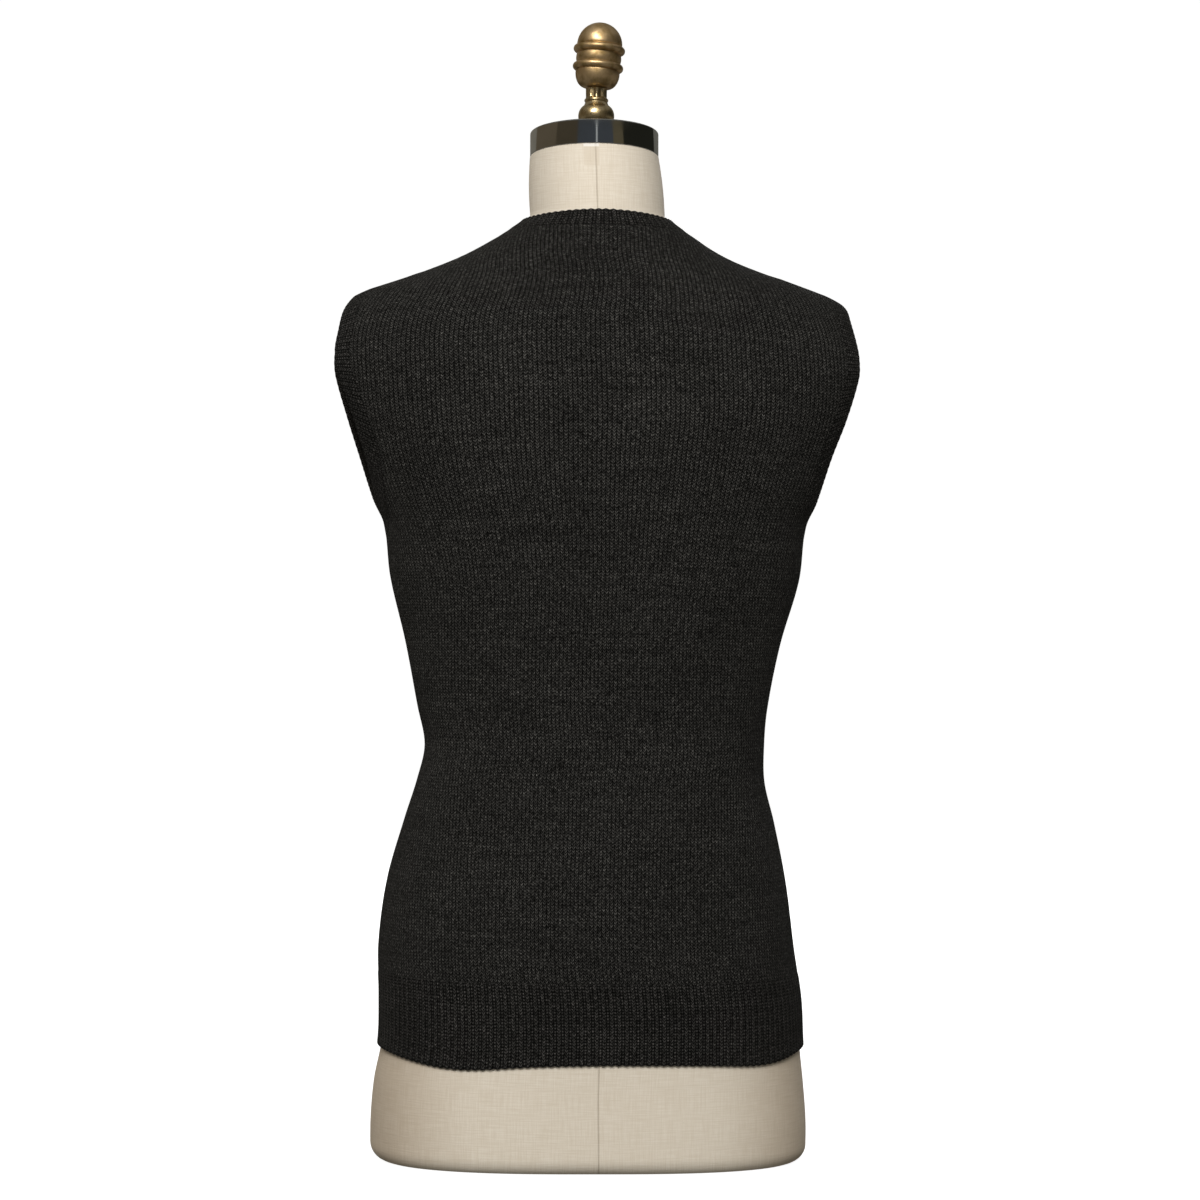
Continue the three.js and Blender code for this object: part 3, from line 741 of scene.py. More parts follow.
@dataclass
class Armband:
    """The ribbed band round one armhole; hand is 1 on the +X side and -1 on the other."""

    figure: Figure
    name: str
    hand: int
    ribs: int = 96
    rib_height: float = 0.22
    points_per_rib: int = 6
    profile: BandProfile = BandProfile(width=17.0, rows=9)

    def build(self, material: bpy.types.Material) -> bpy.types.Object:
        """Makes the band between the armhole's seam and its free edge, as a closed ring of its section."""
        share, lift, relief = self.profile.rings()
        columns = self.ribs * self.points_per_rib
        turn = np.arange(columns) / columns
        seam_y, seam_z = ARMHOLE_SEAM.point(turn)
        edge_y, edge_z = ARMHOLE_EDGE.point(turn)
        y = seam_y + (edge_y - seam_y) * share[:, None]
        z = seam_z + (edge_z - seam_z) * share[:, None]
        from_back = -self.figure.angle_at_depth(z, -y, Half.BACK)
        from_front = self.figure.angle_at_depth(z, y, Half.FRONT)
        angle = np.where(y < 0, from_back, from_front)
        angle = angle if self.hand > 0 else math.pi - angle
        count = turn * self.ribs
        out = lift[:, None] + relief[:, None] * self.rib_height * ridge(count)
        points = eased(self.figure, z, angle, out)
        piece = ring_band(
            self.name + "_knit", self.profile, share, points, self.points_per_rib, flip=self.hand > 0
        )
        finish_piece(piece, material, "charcoal_knit", self.name)
        return piece


@dataclass
class Torso:
    """The form's linen torso and neck, with flat arm plates, a flat underside and a tilted neck top.

    Attributes:
        corner: radius of the lower rim.
        plate_recess: how far the arm plates lie inside the line of the vest.
        plate_rounding: how softly their edges turn.
        neck_top: middle of the neck's top, on which the cap sits.
        neck_bow: how far the neck bulges between its foot and its top.
        row_step: height between rows of the body.
    """

    figure: Figure
    name: str = "form_linen_torso"
    columns: int = 240
    corner: float = 12.0
    plate_recess: float = 4.0
    plate_rounding: float = 1.2
    neck_top: tuple[float, float, float] = (-2.8, 3.0, 778.0)
    neck_radius: float = 50.3
    neck_tilt: float = math.radians(6.5)
    neck_bow: float = 0.9
    row_step: float = 3.2

    def plate_reach(self, z: np.ndarray) -> np.ndarray:
        """How far out the arm plate lets the side reach, and far away above and below the armhole."""
        share = (z - ARMHOLE_EDGE.z + ARMHOLE_EDGE.half_height) / (2 * ARMHOLE_EDGE.half_height)
        inside = (share > 0) & (share < 1)
        angle = self.figure.angle_at_depth(z, ARMHOLE_EDGE.depth(z, Half.BACK), Half.BACK)
        side = self.figure.surface(z, -angle)[..., 0] - self.figure.column("middle", z)
        recess = WALL + CLEARANCE + self.plate_recess * np.sin(math.pi * np.clip(share, 0, 1))
        return np.where(inside, side - recess, 1e4)

    def ring(self, z: np.ndarray, inset: np.ndarray) -> np.ndarray:
        """Rings of the form's skin at some heights, each drawn in towards its middle by its own inset."""
        shares = np.linspace(0, 1, self.columns + 1)[:-1]
        angle = self.figure.angles_across(z, np.full(len(z), -math.pi), np.full(len(z), math.pi), shares)
        tall = np.repeat(z[:, None], self.columns, axis=1)
        points = self.figure.lifted(tall, angle, -(WALL + CLEARANCE))
        middle = self.figure.column("middle", z)[:, None]
        reach = self.plate_reach(z)[:, None]
        across = np.abs(points[..., 0] - middle)
        over = np.logaddexp(0, (across - reach) / self.plate_rounding) * self.plate_rounding
        points[..., 0] = middle + np.sign(points[..., 0] - middle) * (across - np.minimum(over, across))
        low = z < WELT_TOP_Z
        points[low, :, 2] = z[low, None]
        far = np.hypot(points[..., 0], points[..., 1])[..., None]
        points[..., :2] *= 1 - inset[:, None, None] / far
        return points

    def build(self, material: bpy.types.Material) -> bpy.types.Object:
        """Makes the torso from its rings, with the threads of its linen counted in millimetres."""
        turn = np.linspace(0, math.pi / 2, 9)[:-1]
        corner = self.ring(self.corner * (1 - np.cos(turn)), self.corner * (1 - np.sin(turn)))
        body_z = np.concatenate([np.arange(self.corner, NECK_SEAM_Z, self.row_step), [720, 724, 728, NECK_Z]])
        body = self.ring(body_z, np.zeros(len(body_z)))
        base = body[-1]
        around = np.arctan2(base[:, 1], base[:, 0] - self.figure.column("middle", np.array([NECK_Z])))
        across = self.neck_radius * np.cos(around)
        along = self.neck_radius * np.sin(around)
        x, y, z = self.neck_top
        tilt_y, tilt_z = along * math.cos(self.neck_tilt), along * math.sin(self.neck_tilt)
        top = np.stack([x + across, y + tilt_y, z - tilt_z], 1)
        share = np.linspace(0, 1, 17)[1:, None, None]
        outwards = np.stack([np.cos(around), np.sin(around), 0 * around], 1)
        bow = self.neck_bow * np.sin(math.pi * share) * outwards
        neck = base * (1 - share) + top * share + bow
        points = np.concatenate([corner, body, neck])
        closed = np.concatenate([points, points[:, :1]], axis=1)
        run = run_along(closed)
        threads = np.stack([run - run[:, -1:] / 4, closed[..., 2]], axis=-1)
        last = np.arange(self.columns) + (len(points) - 1) * self.columns
        piece = mesh_object(
            self.name, [Grid(points, threads, closed=True)], caps=[np.arange(self.columns)[::-1], last]
        )
        finish_piece(piece, material, "form_linen", "form_torso")
        return piece


def arc(
    middle: tuple[float, float], radii: tuple[float, float], turn: tuple[float, float], count: int
) -> np.ndarray:
    """Points of an elliptical arc in a turned profile: middle + (radii cos, radii sin), in degrees."""
    t = np.radians(np.linspace(turn[0], turn[1], count))
    return np.stack([middle[0] + radii[0] * np.cos(t), middle[1] + radii[1] * np.sin(t)], axis=1)


@dataclass
class Turned:
    """A turned piece: its profile, as radius and height, carried round the Z axis and put in its place."""

    name: str
    node: str
    slot: str
    profile: np.ndarray
    place: Matrix
    flutes: tuple[float, float, int, float] | None = None
    sides: int = 128

    def build(self, material: bpy.types.Material) -> bpy.types.Object:
        """Makes the piece: x = r cos, y = r sin, with flutes cut between two heights where it has them."""
        angle = np.arange(self.sides) / self.sides * 2 * math.pi
        radius = np.repeat(self.profile[:, :1], self.sides, axis=1)
        height = np.repeat(self.profile[:, 1:], self.sides, axis=1)
        if self.flutes:
            low, high, count, depth = self.flutes
            band = (height > low) & (height < high)
            radius = radius - band * depth * np.abs(np.sin(angle * count / 2)) ** 2
        points = np.stack([radius * np.cos(angle), radius * np.sin(angle), height], axis=-1)
        turn = np.array(self.place.to_3x3())
        points = points @ turn.T + np.array(self.place.translation)
        steps = np.linspace(0, 1, self.sides + 1)
        pattern = np.stack(np.meshgrid(steps, self.profile[:, 1], indexing="xy"), axis=-1)
        last = np.arange(self.sides) + (len(points) - 1) * self.sides
        piece = mesh_object(
            self.name, [Grid(points, pattern, closed=True)], caps=[np.arange(self.sides)[::-1], last]
        )
        finish_piece(piece, material, self.slot, self.node)
        return piece


@dataclass
class NeckFittings:
    """The neck cap and the finial, stacked on the tilted top of the neck."""

    torso: Torso
    cap_height: float = 19.5
    cap_radius: float = 50.1
    gap: float = 0.3
    finial_x: float = 1.4
    stem_radius: float = 15.0
    stem_height: float = 34.0
    knob_foot: float = 10.2
    knob_lean: float = math.radians(4)

    def cap_profile(self) -> np.ndarray:
        """A straight-sided band with narrow rounded rims and a flat top."""
        r, h = self.cap_radius, self.cap_height
        low = arc((r - 0.6, 0.6), (0.6, 0.6), (-90, 0), 5)
        high = arc((r - 1.2, h - 1.2), (1.2, 1.2), (0, 90), 7)
        return np.concatenate([[[1.0, 0]], low, high, [[1.0, h]]])

    def stem_profile(self) -> np.ndarray:
        """A foot, a bell, a collar and a fluted neck, with a spigot into the cap and one towards the knob."""
        spigot = np.array([[1.0, -1.7], [11.6, -1.7], [11.8, -1.5], [11.8, 0.0]])
        foot = arc((13.6, 1.2), (1.5, 1.2), (-90, 90), 7)
        waist = arc((14.4, 5.8), (2.0, 2.9), (-130, -230), 7)
        bell = arc((5.5, 12.6), (8.6, 9.6), (-32, 62), 14)
        collar = arc((8.4, 25.0), (1.0, 1.3), (-80, 80), 7)
        neck = np.array([[8.2, 27.0], [8.2, 27.4], [8.25, 30.5], [8.3, 33.9], [8.3, 34.0]])
        plug = np.array([[7.2, 34.05], [7.0, 34.9], [1.0, 34.95]])
        return np.concatenate([spigot, foot, waist, bell, collar, neck, plug])

    def knob_profile(self) -> np.ndarray:
        """An acorn: a rounded cup, a bead, a barrel, a second bead, a fine groove and a dome."""
        cup = arc((9.6, 11.6), (7.7, 11.6), (-86, 8), 16)
        first_bead = arc((17.2, 16.2), (2.6, 2.8), (-92, 96), 12)
        barrel = arc((15.8, 23.2), (1.9, 4.6), (-50, 50), 9)
        second_bead = arc((17.4, 30.1), (2.8, 2.9), (-96, 92), 12)
        groove = np.array([[17.1, 33.1], [17.6, 33.5]])
        dome = arc((0.0, 33.8), (17.7, 17.8), (2, 88), 24)
        return np.concatenate([[[1.0, 0]], cup, first_bead, barrel, second_bead, groove, dome, [[0.3, 51.6]]])

    def build(
        self, chrome: bpy.types.Material, brass: bpy.types.Material, aged: bpy.types.Material
    ) -> list[bpy.types.Object]:
        """Makes the three turned pieces, each seated on the one below it.

        Returns:
            The cap, the finial's stem and its knob.
        """
        neck = Matrix.Translation(self.torso.neck_top) @ Matrix.Rotation(-self.torso.neck_tilt, 4, "X")
        cap = neck @ Matrix.Translation((0, 0, self.gap))
        foot = neck @ Matrix.Translation((self.finial_x, 0, self.cap_height + 2 * self.gap))
        upright = foot @ Matrix.Rotation(self.torso.neck_tilt / 2, 4, "X")
        stem_rise = self.stem_radius * math.sin(self.torso.neck_tilt / 2)
        stem = upright @ Matrix.Translation((0, 0, stem_rise))
        knob_rise = self.stem_height + self.knob_foot * math.sin(self.knob_lean) + self.gap
        knob = stem @ Matrix.Translation((0, 0, knob_rise)) @ Matrix.Rotation(self.knob_lean, 4, "Y")
        pieces = (
            (Turned("neck_cap", "form_neck_cap", "dark_chrome", self.cap_profile(), cap), chrome),
            (
                Turned(
                    "finial_stem",
                    "form_finial_stem",
                    "polished_brass",
                    self.stem_profile(),
                    stem,
                    flutes=(27.2, 33.95, 8, 1.1),
                ),
                brass,
            ),
            (Turned("finial_knob", "form_finial_knob", "aged_brass", self.knob_profile(), knob), aged),
        )
        return [piece.build(material) for piece, material in pieces]


def linear(colour: str) -> tuple[float, float, float, float]:
    """Turns an sRGB colour such as #2b2b29 into linear red, green, blue and alpha."""
    values = [int(colour[i : i + 2], 16) / 255 for i in (1, 3, 5)]
    red, green, blue = (v / 12.92 if v <= 0.04045 else ((v + 0.055) / 1.055) ** 2.4 for v in values)
    return red, green, blue, 1.0


def add(tree: bpy.types.NodeTree, kind: str, inputs: dict | None = None, **settings) -> bpy.types.NodeSocket:
    """Adds a node with its settings and links.

    Args:
        tree: the material's node tree.
        kind: the node's type, without its ShaderNode prefix.
        inputs: sockets to link, or values to set, by the input's name or number.
        settings: the node's own properties.

    Returns:
        The node's first output.
    """
    made = tree.nodes.new("ShaderNode" + kind)
    for name, value in settings.items():
        setattr(made, name, value)
    for key, value in (inputs or {}).items():
        if isinstance(value, bpy.types.NodeSocket):
            tree.links.new(value, made.inputs[key])
        else:
            made.inputs[key].default_value = value
    return made.outputs[0]


def new_material(
    name: str, **constants: float | tuple
) -> tuple[bpy.types.Material, bpy.types.NodeTree, bpy.types.Node]:
    """A material with one Principled shader, whose constants are named with underscores for spaces."""
    material = bpy.data.materials.new(name)
    material.use_nodes = True
    tree = material.node_tree
    shader = tree.nodes["Principled BSDF"]
    for key, value in constants.items():
        shader.inputs[key.replace("_", " ")].default_value = value
    return material, tree, shader


@dataclass(frozen=True)
class WoolKnit:
    """Charcoal heather wool, knitted on a machine: V-shaped stitches of a two-tone yarn.

    The eye gets a deep matt grey with paler fibres in it, columns of small Vs, and painted shade in the hollows
    between them.
    Real fibres are about 0.02 mm thick. They are drawn about 0.4 mm thick here, so that they show in the render.
    The scale of each noise is its count of features in a metre.

    Attributes:
        name: the material's name.
        wale_share: share of the pattern's unit that a column of V stitches takes, less than 1 on a rib.
        depth: height of a stitch's yarn, in millimetres.
        leg_rise: how far a stitch's leg climbs, in courses.
        leg_sweep: the part of a half wave along a leg, as its start and its length, that shades it.
        fibres: count of fibres in a metre.
        flecks: count of heather flecks in a metre.
        naps: count of broad patches of raised nap in a metre.
    """

    name: str
    wale_share: float
    depth: float
    base: str = "#2f2f2e"
    shadow: str = "#161615"
    pale: str = "#454543"
    fleck: str = "#757573"
    leg_rise: float = 0.95
    leg_sweep: tuple[float, float] = (0.28 * math.pi, 0.66 * math.pi)
    fibres: float = 2300.0
    flecks: float = 560.0
    naps: float = 17.0

    def build(self) -> bpy.types.Material:
        """Makes the material: stitches from the piece's own pattern, and fibres from object coordinates."""
        material, tree, shader = new_material(
            self.name,
            Roughness=0.95,
            Specular_IOR_Level=0.15,
            Sheen_Weight=0.06,
            Sheen_Roughness=0.35,
            Sheen_Tint=linear("#8f8f8b"),
        )
        # One stitch: its two legs climb from the wale's middle, and the yarn is round across each leg.
        place = add(tree, "UVMap", uv_map=PATTERN_MAP)
        across = add(tree, "SeparateXYZ", {0: place})
        courses = across.node.outputs["Y"]
        part = add(tree, "Math", {0: across}, operation="FRACT")
        offset = add(tree, "Math", {0: part, 1: 0.5}, operation="SUBTRACT")
        aside = add(tree, "Math", {0: offset}, operation="ABSOLUTE")
        leg_run = add(tree, "Math", {0: aside, 1: 2 / self.wale_share}, operation="MULTIPLY")
        leg = add(tree, "Math", {0: leg_run, 1: 1.0}, operation="MINIMUM")
        rise = add(tree, "Math", {0: leg, 1: self.leg_rise}, operation="MULTIPLY")
        phase = add(tree, "Math", {0: courses, 1: rise}, operation="SUBTRACT")
        strand = add(tree, "Math", {0: phase}, operation="FRACT")
        strand_turn = add(tree, "Math", {0: strand, 1: math.pi}, operation="MULTIPLY")
        strand_wave = add(tree, "Math", {0: strand_turn}, operation="SINE")
        strand_round = add(tree, "Math", {0: strand_wave, 1: 0.95}, operation="POWER")
        sweep_from, sweep = self.leg_sweep
        leg_turn = add(tree, "Math", {0: leg, 1: sweep, 2: sweep_from}, operation="MULTIPLY_ADD")
        leg_wave = add(tree, "Math", {0: leg_turn}, operation="SINE", use_clamp=True)
        stitch = add(tree, "Math", {0: strand_round, 1: leg_wave}, operation="MULTIPLY", use_clamp=True)
        if self.wale_share < 1:
            stitch = self.with_purl(tree, stitch, leg_run, courses)

        solid = add(tree, "TexCoord").node.outputs["Object"]
        fibre = add(tree, "TexNoise", {"Vector": solid, "Scale": self.fibres, "Detail": 3.0, "Roughness": 0.7})
        height = add(tree, "Math", {0: fibre, 1: 0.2, 2: stitch}, operation="MULTIPLY_ADD")
        bump = add(
            tree,
            "Bump",
            {"Height": height, "Distance": self.depth * MM, "Strength": 0.9, "Filter Width": 0.1},
        )
        # The heather: dark, middle and pale fibres with a few light flecks, and streaks along the courses.
        tone = add(tree, "TexNoise", {"Vector": solid, "Scale": self.flecks, "Detail": 2.0, "Roughness": 0.75})
        heather = add(tree, "ValToRGB", {0: tone})
        stops = heather.node.color_ramp.elements
        stops[0].position, stops[0].color = 0.36, linear(self.shadow)
        stops[1].position, stops[1].color = 0.54, linear(self.base)
        stops.new(0.66).color = linear(self.pale)
        stops.new(0.72).color = linear(self.pale)
        stops.new(0.8).color = linear(self.fleck)
        stretched = add(tree, "Mapping", {"Vector": place, "Scale": (0.03, 0.45, 1.0)})
        streak = add(tree, "TexNoise", {"Vector": stretched, "Scale": 1.0, "Detail": 3.0})
        uneven = add(
            tree,
            "MapRange",
            {"Value": streak, "From Min": 0.3, "From Max": 0.7, "To Min": 0.84, "To Max": 1.16},
        )
        # Painted shade: the colour darkens with the stitch's height, towards the hollows between stitches and
        # courses, where shade falls.
        deep = add(tree, "Math", {0: stitch, 1: 1.4}, operation="POWER")
        hollow_shade = add(tree, "Math", {0: deep, 1: 2.0, 2: 0.01}, operation="MULTIPLY_ADD")
        broad = add(tree, "TexNoise", {"Vector": solid, "Scale": self.naps, "Detail": 2.0, "Roughness": 0.6})
        nap = add(
            tree,
            "MapRange",
            {"Value": broad, "From Min": 0.35, "From Max": 0.68, "To Min": 0.95, "To Max": 1.14},
        )
        lit = add(tree, "Math", {0: uneven, 1: nap}, operation="MULTIPLY")
        shade = add(tree, "Math", {0: hollow_shade, 1: lit}, operation="MULTIPLY")
        grey = add(tree, "CombineXYZ", {0: shade, 1: shade, 2: shade})
        yarn = add(tree, "VectorMath", {0: heather, 1: grey}, operation="MULTIPLY")
        tree.links.new(yarn, shader.inputs["Base Color"])
        tree.links.new(bump, shader.inputs["Normal"])
        return material

    def with_purl(
        self,
        tree: bpy.types.NodeTree,
        stitch: bpy.types.NodeSocket,
        leg_run: bpy.types.NodeSocket,
        courses: bpy.types.NodeSocket,
    ) -> bpy.types.NodeSocket:
        """Adds the purl stitches between two ribs: short bars, one a course.

        A bar's height is sin(pi t) sin(pi fract(V + 0.5)), where t runs from 0 at one rib, past 0.5 in the
        valley's middle, to 1 at the next.

        Args:
            tree: the material's node tree.
            stitch: height of the knit stitches.
            leg_run: distance from the rib's middle, 1 at its edge.
            courses: the count of courses.

        Returns:
            The height of both.
        """
        valley = 1 / self.wale_share - 1
        beyond = add(tree, "Math", {0: leg_run, 1: 1.0}, operation="SUBTRACT")
        into = add(tree, "Math", {0: beyond, 1: 0.5 * math.pi / valley}, operation="MULTIPLY")
        swell = add(tree, "Math", {0: into}, operation="SINE", use_clamp=True)
        shifted = add(tree, "Math", {0: courses, 1: 0.5}, operation="ADD")
        bar_part = add(tree, "Math", {0: shifted}, operation="FRACT")
        bar_turn = add(tree, "Math", {0: bar_part, 1: math.pi}, operation="MULTIPLY")
        bar = add(tree, "Math", {0: bar_turn}, operation="SINE")
        purl = add(tree, "Math", {0: bar, 1: swell}, operation="MULTIPLY")
        return add(tree, "Math", {0: stitch, 1: purl}, operation="MAXIMUM")


@dataclass(frozen=True)
class Linen:
    """Natural linen, woven plain and stretched over the form.

    The eye gets a warm off-white, uneven threads both ways with a few dark neps, a seam down the middle of the
    back, a small tape tab on it below the cap, and painted shade that darkens the hips' outer sides low down,
    where the light falls off. The real threads are about 0.5 mm apart. They are drawn about 1 mm apart here, so
    that they show in the render.

    Attributes:
        seam_foot: how far the seam is from the middle at the form's foot.
        seam_lean: how much nearer it comes with each millimetre of height.
        side_shade_from: the distance from the middle where the painted side shade starts, and where it is full.
        side_shade_to: the height where the painted side shade starts to fade, and where it is gone.
        tab_middle: the tab's distance from the seam.
        tab_foot: the height of its lower edge.
        tab_rim: the height from which its upper end is turned over.
    """

    name: str = "natural_linen_cover"
    base: str = "#efe8da"
    thread: str = "#e3dac9"
    nep: str = "#6e5c42"
    seam: str = "#8f8066"
    # Colour of the painted side shade, multiplied into the linen low on the hips' outer sides.
    side_shade: str = "#dfd8d1"
    tab: str = "#d8cdb9"
    tab_end: str = "#f8f5ee"
    seam_foot: float = 4.2
    seam_lean: float = 0.0085
    side_shade_from: tuple[float, float] = (85.0, 170.0)
    side_shade_to: tuple[float, float] = (200.0, 300.0)
    tab_middle: float = -3.4
    tab_width: float = 12.0
    tab_foot: float = 766.0
    tab_rim: float = 781.0

    def build(self) -> bpy.types.Material:
        """Makes the material from the piece's thread coordinates, in millimetres from the back seam."""
        material, tree, shader = new_material(
            self.name, Roughness=0.85, Sheen_Weight=0.12, Sheen_Roughness=0.5, Sheen_Tint=linear("#efe6d4")
        )
        place = add(tree, "UVMap", uv_map=PATTERN_MAP)
        warp_way = add(tree, "Mapping", {"Vector": place, "Scale": (1.0, 0.045, 1.0)})
        weft_way = add(tree, "Mapping", {"Vector": place, "Scale": (0.045, 1.0, 1.0)})
        warp = add(tree, "TexNoise", {"Vector": warp_way, "Scale": 1.0, "Detail": 3.0, "Roughness": 0.65})
        weft = add(tree, "TexNoise", {"Vector": weft_way, "Scale": 1.0, "Detail": 3.0, "Roughness": 0.65})
        weave = add(tree, "Math", {0: warp, 1: weft}, operation="MULTIPLY")
        slubs = add(tree, "MapRange", {"Value": weave, "From Min": 0.16, "From Max": 0.36})
        cloth = add(
            tree, "MixRGB", {"Fac": slubs, "Color1": linear(self.thread), "Color2": linear(self.base)}
        )
        cells = add(tree, "TexVoronoi", {"Vector": place, "Scale": 0.028})
        speck = add(
            tree,
            "MapRange",
            {"Value": cells, "From Min": 0.012, "From Max": 0.02, "To Min": 0.75, "To Max": 0.0},
        )
        nepped = add(tree, "MixRGB", {"Fac": speck, "Color1": cloth, "Color2": linear(self.nep)})
        # Painted shade: the linen darkens towards the hips' outer sides and low down, where the light falls off.
        solid = add(tree, "SeparateXYZ", {0: add(tree, "TexCoord").node.outputs["Object"]})
        sideways = add(tree, "Math", {0: solid}, operation="ABSOLUTE")
        start, full = self.side_shade_from
        wide = add(
            tree,
            "MapRange",
            {"Value": sideways, "From Min": start * MM, "From Max": full * MM},
            interpolation_type="SMOOTHSTEP",
        )
        upwards = solid.node.outputs["Z"]
        fades, gone = self.side_shade_to
        low = add(
            tree,
            "MapRange",
            {"Value": upwards, "From Min": fades * MM, "From Max": gone * MM, "To Min": 1.0, "To Max": 0.0},
        )
        side_shade_mask = add(tree, "Math", {0: wide, 1: low}, operation="MULTIPLY")
        side_shaded = add(
            tree,
            "MixRGB",
            {"Fac": side_shade_mask, "Color1": nepped, "Color2": linear(self.side_shade)},
            blend_type="MULTIPLY",
        )
        split = add(tree, "SeparateXYZ", {0: place})
        level = split.node.outputs["Y"]
        seam_place = {0: level, 1: self.seam_lean, 2: -self.seam_foot}
        lean = add(tree, "Math", seam_place, operation="MULTIPLY_ADD")
        across = add(tree, "Math", {0: split, 1: lean}, operation="ADD")
        aside = add(tree, "Math", {0: across}, operation="ABSOLUTE")
        line = add(
            tree,
            "MapRange",
            {"Value": aside, "From Min": 0.25, "From Max": 0.6, "To Min": 1.0, "To Max": 0.0},
        )
        dark = add(tree, "Math", {0: line, 1: 0.35}, operation="MULTIPLY")
        seamed = add(tree, "MixRGB", {"Fac": dark, "Color1": side_shaded, "Color2": linear(self.seam)})
        off_tab = add(tree, "Math", {0: across, 1: self.tab_middle}, operation="SUBTRACT")
        tab_aside = add(tree, "Math", {0: off_tab}, operation="ABSOLUTE")
        half, edge = self.tab_width / 2, 0.3
        tab_wide = add(
            tree,
            "MapRange",
            {
                "Value": tab_aside,
                "From Min": half - edge,
                "From Max": half + edge,
                "To Min": 1.0,
                "To Max": 0.0,
            },
        )
        tab_tall = add(
            tree,
            "MapRange",
            {"Value": level, "From Min": self.tab_foot, "From Max": self.tab_foot + 0.6, "To Max": 0.4},
        )
        tab_rim = add(
            tree, "MapRange", {"Value": level, "From Min": self.tab_rim, "From Max": self.tab_rim + 0.5}
        )
        on_tab = add(tree, "Math", {0: tab_tall, 1: tab_wide}, operation="MULTIPLY")
        on_end = add(tree, "Math", {0: tab_rim, 1: tab_wide}, operation="MULTIPLY")
        taped = add(tree, "MixRGB", {"Fac": on_tab, "Color1": seamed, "Color2": linear(self.tab)})
        sewn = add(tree, "MixRGB", {"Fac": on_end, "Color1": taped, "Color2": linear(self.tab_end)})
        height = add(tree, "Math", {0: line, 1: -1.2, 2: weave}, operation="MULTIPLY_ADD")
        bump = add(tree, "Bump", {"Height": height, "Distance": 0.35 * MM, "Strength": 0.8})
        tree.links.new(sewn, shader.inputs["Base Color"])
        tree.links.new(bump, shader.inputs["Normal"])
        return material


@dataclass(frozen=True)
class Metal:
    """A metal, polished or aged: one colour, a darker tarnish in patches, and a fine unevenness.

    Attributes:
        name: the material's name.
        colour: the clean metal.
        tarnish: the colour of its darker patches.
        roughness: of the clean metal; the patches are duller.
        unevenness: height of its faint dents, in millimetres.
        patch: size of the tarnish's patches, in millimetres.
    """

    name: str
    colour: str
    tarnish: str
    roughness: float
    unevenness: float
    patch: float

    def build(self) -> bpy.types.Material:
        """Makes the material from object coordinates."""
        material, tree, shader = new_material(self.name, Metallic=1.0)
        solid = add(tree, "TexCoord").node.outputs["Object"]
        patches = add(tree, "TexNoise", {"Vector": solid, "Scale": 1 / (self.patch * MM), "Detail": 4.0})
        worn = add(tree, "MapRange", {"Value": patches, "From Min": 0.4, "From Max": 0.68})
        mixed = add(
            tree, "MixRGB", {"Fac": worn, "Color1": linear(self.colour), "Color2": linear(self.tarnish)}
        )
        dull = add(tree, "Math", {0: worn, 1: 0.18, 2: self.roughness}, operation="MULTIPLY_ADD")
        dents = add(tree, "TexNoise", {"Vector": solid, "Scale": 260.0, "Detail": 3.0})
        bump = add(tree, "Bump", {"Height": dents, "Distance": self.unevenness * MM, "Strength": 0.6})
        tree.links.new(mixed, shader.inputs["Base Color"])
        tree.links.new(dull, shader.inputs["Roughness"])
        tree.links.new(bump, shader.inputs["Normal"])
        return material


@dataclass(frozen=True)
class PhotoCamera:
    """The photograph's camera: level, a little to the garment's left, and rolled by a fraction of a degree.

    The picture is 1200 pixels wide and shows 936 mm at the figure, 0.78 mm a pixel.
    """

    distance: float = 2800.0
    azimuth: float = math.radians(-4.0)
    eye_z: float = 433.5
    target_x: float = 5.1
    roll: float = math.radians(0.6)
    frame_width: float = 936.0
    sensor: float = 36.0

    def build(self) -> None:
        """Places the camera on its circle about the figure and turns it to face the middle."""
        data = bpy.data.cameras.new("photo_camera")
        data.sensor_width = self.sensor
        data.lens = self.sensor * self.distance / self.frame_width
        data.clip_end = 100.0
        camera = bpy.data.objects.new("photo_camera", data)
        forward = Vector((-math.sin(self.azimuth), math.cos(self.azimuth), 0))
        right = Vector((math.cos(self.azimuth), math.sin(self.azimuth), 0))
        up = Vector((0, 0, 1))
        rolled_right = right * math.cos(self.roll) + up * math.sin(self.roll)
        rolled_up = up * math.cos(self.roll) - right * math.sin(self.roll)
        place = Vector((self.target_x, 0, self.eye_z)) - forward * self.distance
        turn = Matrix((rolled_right, rolled_up, -forward)).transposed().to_4x4()
        camera.matrix_world = Matrix.Translation(place * MM) @ turn
        bpy.context.scene.collection.objects.link(camera)
        bpy.context.scene.camera = camera


